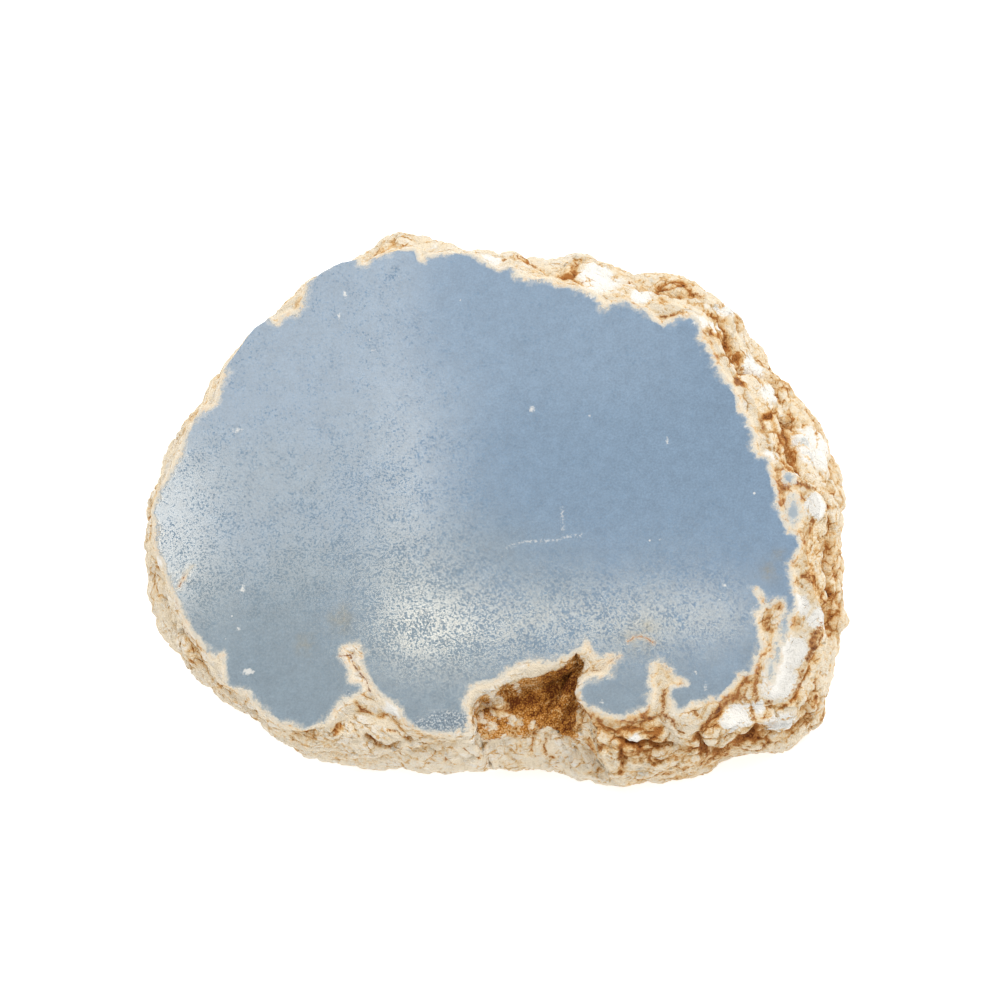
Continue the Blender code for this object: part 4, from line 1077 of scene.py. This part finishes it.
@dataclass(frozen=True)
class SawnAngelite(Finish):
    """Angelite as the saw left it: the eye gets a matt, paler blue with a cream rim and faint parallel saw marks."""

    name: str = "sawn_angelite"
    roughness: float = 0.62
    ior: float = 1.57
    blue: str = "#94A3B1"
    dusty: str = "#AEB8BF"
    cream: str = "#E8DCC6"
    rust: str = "#B08250"
    saw_pitch: float = 1.4

    def make(self) -> bpy.types.Material:
        """Build the material."""
        material, graph, shader, place = self.start()
        blue_depth = graph.add("Attribute", output=2, attribute_name="blue")
        teeth = graph.add("TexNoise", {"Vector": place, "Scale": 1.0 / 2.0, "Detail": 6.0, "Roughness": 0.7})
        shift = graph.add("MapRange", {0: teeth, 1: 0.3, 2: 0.7, 3: -1.2, 4: 1.2})
        edge = graph.add("Math", {0: blue_depth, 1: shift}, operation="ADD")
        is_blue = graph.add("MapRange", {0: edge, 1: -0.2, 2: 0.3}, interpolation_type="SMOOTHSTEP")
        mottle = graph.add("TexNoise", {"Vector": place, "Scale": 1.0 / 9.0, "Detail": 7.0, "Roughness": 0.65})
        bloom = graph.add("MapRange", {0: mottle, 1: 0.35, 2: 0.65})
        blue = graph.add("Mix", {0: bloom, 6: linear(self.blue), 7: linear(self.dusty)}, 2, data_type="RGBA")
        seep = graph.add("MapRange", {0: teeth, 1: 0.48, 2: 0.7, 4: 0.8})
        rind = graph.add("Mix", {0: seep, 6: linear(self.cream), 7: linear(self.rust)}, 2, data_type="RGBA")
        colour = graph.add("Mix", {0: is_blue, 6: rind, 7: blue}, 2, data_type="RGBA")
        turned = graph.add("Mapping", {"Vector": place, "Rotation": (0.0, 0.0, math.radians(24.0))})
        marks = graph.add("TexWave", {"Vector": turned, "Scale": 0.31 / self.saw_pitch, "Distortion": 1.2,
                                      "Detail": 3.0, "Detail Scale": 0.6})
        shade = graph.add("MapRange", {0: marks, 3: 0.95, 4: 1.03})
        colour = graph.add("Mix", {0: 1.0, 6: colour, 7: shade}, 2, data_type="RGBA", blend_type="MULTIPLY")
        graph.tree.links.new(colour, shader.inputs["Base Color"])
        height = graph.add("Math", {0: teeth, 1: 0.8, 2: marks}, operation="MULTIPLY_ADD")
        grooves = graph.add("Bump", {"Strength": 0.5, "Distance": 0.12 * MM, "Height": height})
        graph.tree.links.new(grooves, shader.inputs["Normal"])
        return material


@dataclass(frozen=True)
class AngeliteSlice:
    """The whole stone as one closed mesh: its rough side wall, its polished face and its sawn back."""

    form: SlabForm = SlabForm()
    box_middle: Spot = (-0.9, 1.3)
    vein_step: float = 0.2
    mark_step: float = 0.33
    cream_step: float = 0.5
    near_step: float = 1.4
    wide_step: float = 3.2
    back_step: float = 2.6
    margin: float = 0.16
    back_rim: float = 3.0
    weathered_from: float = 0.2
    weathered_by: float = 1.6
    sink_depth: float = 0.55
    shoulder: float = 1.4
    shoulder_drop: float = 0.6

    def blue_depth(self, spots: Array) -> Array:
        """Measure how far spots on the polished face lie inside the blue stone.

        Args:
            spots: Spots, one x, y per row.

        Returns:
            Millimetres inside it, minus outside it.
        """
        blue = np.maximum(inside_outline(spots, np.array(BLUE_EDGE)), within_ovals(spots, BLUE_ISLANDS))
        for run, half in CREAM_THREADS:
            blue = np.minimum(blue, to_stretches(spots, np.array(run)) - half)
        return blue

    def within_veins(self, spots: Array) -> Array:
        """Measure how far spots on the polished face lie inside the nearest rust vein, minus outside them all."""
        return np.max([half - to_stretches(spots, np.array(run)) for run, half in VEINS], axis=0)

    def near_spots(self, spots: Array, rounds: tuple[tuple[float, float, float], ...]) -> Array:
        """Ease from 1 in the middle of the nearest of some rounds, given as x, y and radius, to 0 at its radius."""
        return eased(np.max([1.0 - np.hypot(*(spots - (x, y)).T) / radius for x, y, radius in rounds], axis=0))

    def face_paint(self, spots: Array) -> dict[str, Array]:
        """Work out the values that the polished face's finish reads.

        Args:
            spots: Spots on the face, one x, y per row.

        Returns:
            One value per spot for each attribute.
        """
        scratches = np.min([to_stretches(spots, np.array(run)) for run in SCRATCHES], axis=0)
        blue = self.blue_depth(spots)
        rough = eased((-blue - self.weathered_from) / self.weathered_by)
        return {
            "blue": np.clip(blue, -6.0, 6.0),
            "mark": np.clip(within_ovals(spots, MARKS), -1.0, 1.0),
            "scratch": np.clip(1.5 - scratches / 0.3, 0.0, 1.0),
            "vein": np.clip(self.within_veins(spots), -1.5, 1.0),
            "cloud": self.near_spots(spots, CLOUDS),
            "pitted": eased(2.5 * within_ovals(spots, PITTED)),
            "rough": rough,
        }

    def face_points(self, rim: Array) -> Array:
        """Scatter points over the polished face, close together where its pattern is fine.

        Args:
            rim: The face's outline, one x, y per row.

        Returns:
            The points inside the outline, one x, y per row.
        """
        low, high = rim.min(axis=0), rim.max(axis=0)
        steps = np.array((self.vein_step, self.mark_step, self.cream_step, self.near_step, self.wide_step))
        kept = []
        for level, step in enumerate(steps):
            grid = hexagonal(step, tuple(low), tuple(high))
            blue = self.blue_depth(grid)
            scratches = np.min([to_stretches(grid, np.array(run)) for run in SCRATCHES], axis=0)
            marked = np.maximum(within_ovals(grid, MARKS), 0.5 - scratches) > -0.3
            wanted = np.where(blue < 4.5, 3, 4)
            wanted = np.where(blue < 1.0, 2, wanted)
            wanted = np.where(marked, 1, wanted)
            wanted = np.where(self.within_veins(grid) > -0.4, 0, wanted)
            grid = grid[wanted == level]
            kept.append(grid[inside_outline(grid, rim[::2]) > self.margin + 0.25 * step])
        return np.concatenate(kept)

    def filled(self, rim: Array, points: Array) -> Array:
        """Fill a flat outline with triangles that use its corners and the points in it.

        Args:
            rim: The outline, anticlockwise, one x, y per row.
            points: Points inside it.

        Returns:
            The triangles as numbers of corner or point, corners first.
        """
        flat = [Vector(place) for place in np.concatenate([rim, points]).tolist()]
        ring = np.arange(len(rim))
        edges = np.stack([ring, np.roll(ring, -1)], axis=-1).tolist()
        verts, _, faces, origins, _, _ = delaunay_2d_cdt(flat, edges, [], 1, 1e-6)
        if len(verts) != len(flat):
            raise ValueError("the face's outline crosses itself")
        first = np.array([origin[0] for origin in origins])
        return first[np.array(faces)]

    def sink(self, spots: Array, rough: Array, from_rim: Array) -> Array:
        """How far the weathered rim of the face lies below its polished plane.

        The depth is the sink depth less a share of the grain's height, plus a shoulder that falls with the
        square of the nearness to the rim, all times how weathered the spot is.

        Args:
            spots: Spots on the face, one x, y per row.
            rough: How weathered each is, from 0 to 1.
            from_rim: How far inside the face's outline each is.

        Returns:
            The depth of each spot, in millimetres.
        """
        places = np.column_stack([spots, np.full(len(spots), self.form.thickness)])
        cracks = self.form.cracked(places, np.broadcast_to(UP, places.shape))
        fine = self.form.grain(places)[1] - self.form.crack_depth * eased(cracks)
        drop = self.shoulder_drop * np.clip(1.0 - from_rim / self.shoulder, 0.0, 1.0) ** 2
        return rough * np.clip(self.sink_depth - 0.6 * fine + drop, 0.0, 1.6)

    def rind_paint(self, places: Array, outward: Array, creases: Array, in_vug: Array) -> dict[str, Array]:
        """Work out the values that the rind's finish reads.

        Args:
            places: Places on the stone, with x, y, z along the last axis.
            outward: The unit direction square to the stone's broad form at each place.
            creases: How deep in a crease each place is.
            in_vug: How far in the vug each place is.

        Returns:
            One value per place for each attribute.
        """
        angle = np.degrees(np.arctan2(places[..., 1], places[..., 0]))
        degrees, share = np.array(RUST_ROUND).T
        rust = np.interp(angle, degrees, share, period=360.0) + 0.3 * smooth_noise(places, 7.0, 51)
        on_top = 1.0 - eased((self.form.thickness - places[..., 2]) / 2.0)
        rust += 0.5 * self.form.near_patches(places, STAINS) - 0.1 * on_top
        grey = self.form.near_patches(places, GREYS)
        white = self.form.near_patches(places, WHITES)
        flat = places[..., :2].reshape(-1, 2)
        vug_painted_shade = self.near_spots(flat, VUG_PAINTED_SHADE).reshape(places.shape[:-1])
        lined = np.clip(1.5 * in_vug, 0.0, 1.0) * (1.0 - 0.85 * np.clip(self.form.vug_knobs(places), 0.0, 1.0))
        lined = lined * (0.55 + 0.45 * eased((self.form.thickness - places[..., 2]) / 1.2))
        lined = lined * (0.5 + 0.5 * eased((places[..., 0] + 2.0) / 4.0))
        lined = lined * (1.0 - eased((places[..., 0] - 15.6) / 1.5) * eased((-39.5 - places[..., 1]) / 1.5))
        lined = lined * (1.0 - eased((-46.0 - places[..., 1]) / 3.0))
        # Painted shade in the vug: its creases count in full there and the painted shadow spots are added to them, and
        # this crease value darkens the lining towards dark rust. Outside the vug the crease value places rust stain.
        creases = creases * np.clip(0.3 + 1.1 * rust + in_vug, 0.0, 1.0)
        creases = np.clip(np.maximum(creases, 1.6 * in_vug * vug_painted_shade), 0.0, 1.0)
        crack = self.form.cracked(places, outward)
        rust = np.clip(rust + 0.9 * eased(crack), 0.0, 1.8)
        return {"crease": creases, "rust": rust, "crack": crack, "grey": grey, "white": white, "lined": lined}

    def build(self) -> bpy.types.Object:
        """Build the stone's mesh with its attributes and finishes.

        Returns:
            The stone, linked to the scene.
        """
        form = self.form
        side, creases, in_vug = form.rough_side()
        count, rows = form.columns, form.rows + 1
        top_rim, back_rim = side[:, 0, :2], side[:, -1, :2]
        paint = self.rind_paint(side, form.outward_directions(side), creases, in_vug)
        rim_paint = self.face_paint(top_rim)
        sunk = self.sink(top_rim, rim_paint["rough"], np.zeros(count))
        side = side - UP * (sunk[:, None] * (1.0 - eased((form.thickness - side[..., 2]) / 3.5)))[..., None]

        number = np.arange(count * rows).reshape(count, rows)
        near, far = number, np.roll(number, -1, axis=0)
        walls = np.stack([near[:, :-1], near[:, 1:], far[:, 1:], far[:, :-1]], axis=-1).reshape(-1, 4)

        top_spots = self.face_points(top_rim)
        top_faces = self.filled(top_rim, top_spots)
        top_paint = self.face_paint(top_spots)
        top_depth = self.sink(top_spots, top_paint["rough"], inside_outline(top_spots, top_rim[::4]))
        top_places = np.column_stack([top_spots, form.thickness - top_depth])
        flat_places = np.column_stack([top_spots, np.full(len(top_spots), form.thickness)])
        top_creases = form.grain(flat_places)[2]
        upward = np.broadcast_to(UP, flat_places.shape)
        top_paint.update(self.rind_paint(flat_places, upward, top_creases, np.zeros(len(top_spots))))

        low, high = back_rim.min(axis=0), back_rim.max(axis=0)
        back_spots = hexagonal(self.back_step, tuple(low), tuple(high))
        back_inside = inside_outline(back_spots, back_rim[::4])
        kept = back_inside > 0.5 * self.back_step
        back_spots, back_inside = back_spots[kept], back_inside[kept]
        back_faces = self.filled(back_rim, back_spots)
        back_places = np.column_stack([back_spots, np.zeros(len(back_spots))])

        top_start = count * rows
        back_start = top_start + len(top_spots)
        top_faces = np.where(top_faces < count, top_faces * rows, top_faces - count + top_start)
        back_faces = np.where(back_faces < count, back_faces * rows + rows - 1, back_faces - count + back_start)
        places = np.concatenate([side.reshape(-1, 3), top_places, back_places])
        faces = walls.tolist() + top_faces.tolist() + back_faces[:, ::-1].tolist()

        mesh = bpy.data.meshes.new("angelite_stone")
        moved = (places - np.array((*self.box_middle, 0.0))) * MM
        mesh.from_pydata(moved.tolist(), [], faces)
        cuts = np.repeat([Cut.RIND, Cut.POLISHED, Cut.SAWN], [len(walls), len(top_faces), len(back_faces)])
        mesh.polygons.foreach_set("material_index", cuts.astype(np.int32))
        mesh.polygons.foreach_set("use_smooth", cuts != Cut.SAWN)

        rim_number = number[:, 0]
        cut = np.zeros(len(places), bool)
        cut[rim_number] = rim_paint["rough"] < 0.5
        cut[number[:, -1]] = True
        ends = np.empty(2 * len(mesh.edges), np.int32)
        mesh.edges.foreach_get("vertices", ends)
        mesh.attributes.new("sharp_edge", "BOOLEAN", "EDGE").data.foreach_set("value", cut[ends].reshape(-1, 2).all(-1))
        values = {name: np.zeros(len(places), np.float32) for name in (*rim_paint, *paint)}
        values["blue"][:] = -6.0
        values["vein"][:] = -1.5
        for name, value in rim_paint.items():
            values[name][rim_number] = value
            values[name][top_start:back_start] = top_paint[name]
        for name, value in paint.items():
            values[name][:top_start] = value.ravel()
            values[name][top_start:back_start] = top_paint[name]
        values["rough"][:top_start] = 1.0
        values["rough"][rim_number] = rim_paint["rough"]
        values["blue"][number[:, -1]] = -self.back_rim
        values["blue"][back_start:] = np.minimum(back_inside - self.back_rim, 6.0)
        for name, value in values.items():
            mesh.attributes.new(name, "FLOAT", "POINT").data.foreach_set("value", value)
        mesh.update()

        for finish in (PolishedAngelite(), WeatheredRind(), SawnAngelite()):
            mesh.materials.append(finish.make())
        stone = bpy.data.objects.new("angelite_stone", mesh)
        bpy.context.scene.collection.objects.link(stone)
        return stone


@dataclass(frozen=True)
class Panel:
    """A soft light: a rectangle of light in millimetres, level or aimed at the stone."""

    name: str
    middle: tuple[float, float, float]
    size: Spot
    radiance: float
    tint: str
    aim: tuple[float, float, float] | None = None

    def build(self) -> None:
        """Add the light to the scene. Its power is its radiance times its area times pi."""
        light = bpy.data.lights.new(self.name, "AREA")
        light.shape = "RECTANGLE"
        light.size, light.size_y = self.size[0] * MM, self.size[1] * MM
        light.energy = self.radiance * light.size * light.size_y * math.pi
        light.color = linear(self.tint)[:3]
        lamp = bpy.data.objects.new(self.name, light)
        lamp.location = Vector(self.middle) * MM
        if self.aim is not None:
            lamp.rotation_euler = (Vector(self.middle) - Vector(self.aim)).to_track_quat("Z", "Y").to_euler()
        bpy.context.scene.collection.objects.link(lamp)


@dataclass(frozen=True)
class Studio:
    """The pale floor, the soft light and the camera, which looks down on the polished face from the vug's side."""

    camera_distance: float = 700.0
    camera_tilt: float = 21.0
    camera_turn: float = -62.0
    millimetres_per_pixel: float = 0.19
    middle_pixel: Spot = (495.0, 508.0)
    image_width: float = 1000.0
    sensor: float = 36.0
    floor_size: float = 6000.0
    room_light: float = 0.95

    def camera_direction(self) -> Array:
        """Point from the stone to the camera: tilted off the face's normal, towards the turn round it."""
        tilt, turn = math.radians(self.camera_tilt), math.radians(self.camera_turn)
        return np.array((math.sin(tilt) * math.cos(turn), math.sin(tilt) * math.sin(turn), math.cos(tilt)))

    def camera_place(self, stone: AngeliteSlice) -> tuple[Array, Array]:
        """Work out the camera's place and its axes.

        Args:
            stone: The stone that it looks at.

        Returns:
            The place in millimetres, and a matrix whose columns are the camera's right, up and back.
        """
        back = self.camera_direction()
        up = np.array((0.0, 1.0, 0.0))
        up = up - (up @ back) * back
        up /= np.linalg.norm(up)
        right = np.cross(up, back)
        off = (np.array(self.middle_pixel) - 0.5 * self.image_width) * self.millimetres_per_pixel
        middle = np.array((-stone.box_middle[0], -stone.box_middle[1], 0.5 * stone.form.thickness))
        place = middle + back * self.camera_distance - right * off[0] + up * off[1]
        return place, np.stack([right, up, back], axis=-1)

    def build_camera(self, stone: AngeliteSlice) -> None:
        """Add the camera and make it the scene's."""
        place, axes = self.camera_place(stone)
        lens = bpy.data.cameras.new("camera")
        lens.sensor_width = self.sensor
        lens.lens = self.camera_distance / (self.millimetres_per_pixel * self.image_width) * self.sensor
        lens.clip_start = 0.01
        camera = bpy.data.objects.new("camera", lens)
        camera.matrix_world = Matrix.Translation(Vector(place) * MM) @ Matrix(axes.tolist()).to_4x4()
        bpy.context.scene.collection.objects.link(camera)
        bpy.context.scene.camera = camera

    def build_floor(self) -> None:
        """Add the floor, a sheet of white paper whose own faint light keeps the ground round the stone white."""
        half = 0.5 * self.floor_size * MM
        mesh = bpy.data.meshes.new("floor")
        mesh.from_pydata([(-half, -half, 0.0), (half, -half, 0.0), (half, half, 0.0), (-half, half, 0.0)], [],
                         [(0, 1, 2, 3)])
        paper = bpy.data.materials.new("white_paper")
        paper.use_nodes = True
        shader = paper.node_tree.nodes["Principled BSDF"]
        shader.inputs["Base Color"].default_value = linear("#F6F6F6")
        shader.inputs["Roughness"].default_value = 0.9
        shader.inputs["Emission Color"].default_value = linear("#FFFFFF")
        shader.inputs["Emission Strength"].default_value = 0.4
        mesh.materials.append(paper)
        floor = bpy.data.objects.new("floor", mesh)
        bpy.context.scene.collection.objects.link(floor)

    def build_light(self) -> None:
        """Add the room's even light and the panels that glance off the polish."""
        world = bpy.data.worlds.new("room")
        world.use_nodes = True
        sky = world.node_tree.nodes["Background"]
        sky.inputs["Color"].default_value = linear("#FFFFFF")
        sky.inputs["Strength"].default_value = self.room_light
        bpy.context.scene.world = world
        for panel in (
            Panel("key", (560.0, 420.0, 1000.0), (800.0, 800.0), 3.3, "#FFFFFF", (0.0, 0.0, 0.0)),
            Panel("left_window", (-238.0, 268.0, 600.0), (216.0, 210.0), 3.2, "#FFF2DA"),
            Panel("far_left", (-262.0, 184.0, 598.0), (110.0, 60.0), 6.6, "#FFF6E6"),
            Panel("top_window", (-90.0, 285.0, 597.0), (110.0, 120.0), 1.0, "#FFFFFF"),
            Panel("upright_glow", (-126.0, 187.0, 596.0), (34.0, 106.0), 1.8, "#FFF0D2"),
            Panel("upright_core", (-129.0, 180.0, 595.0), (13.0, 86.0), 3.5, "#FFF0D2"),
            Panel("level_glow", (-77.0, 145.0, 594.0), (134.0, 20.0), 4.0, "#FFECC4"),
            Panel("level_core", (-77.0, 142.0, 593.0), (124.0, 9.0), 10.5, "#FFECC4"),
            Panel("knee", (-122.0, 143.0, 592.5), (34.0, 28.0), 4.4, "#FFF8EC"),
        ):
            panel.build()

    def build(self, stone: AngeliteSlice) -> None:
        """Build the whole studio round the stone."""
        self.build_floor()
        self.build_light()
        self.build_camera(stone)
        bpy.context.scene.view_settings.view_transform = "Standard"


def main() -> None:
    """Build the stone and the studio, and report each piece."""
    logging.basicConfig(level=logging.INFO, format="%(message)s")
    slab = AngeliteSlice()
    stone = slab.build()
    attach(stone, "root")
    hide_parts("angelite_slice")
    stone.data.calc_loop_triangles()
    LOG.info("%s: %d triangles", stone.name, len(stone.data.loop_triangles))
    Studio().build(slab)
    LOG.info("studio: floor, lights and camera")
    bpy.context.view_layer.update()


if __name__ == "__main__":
    main()
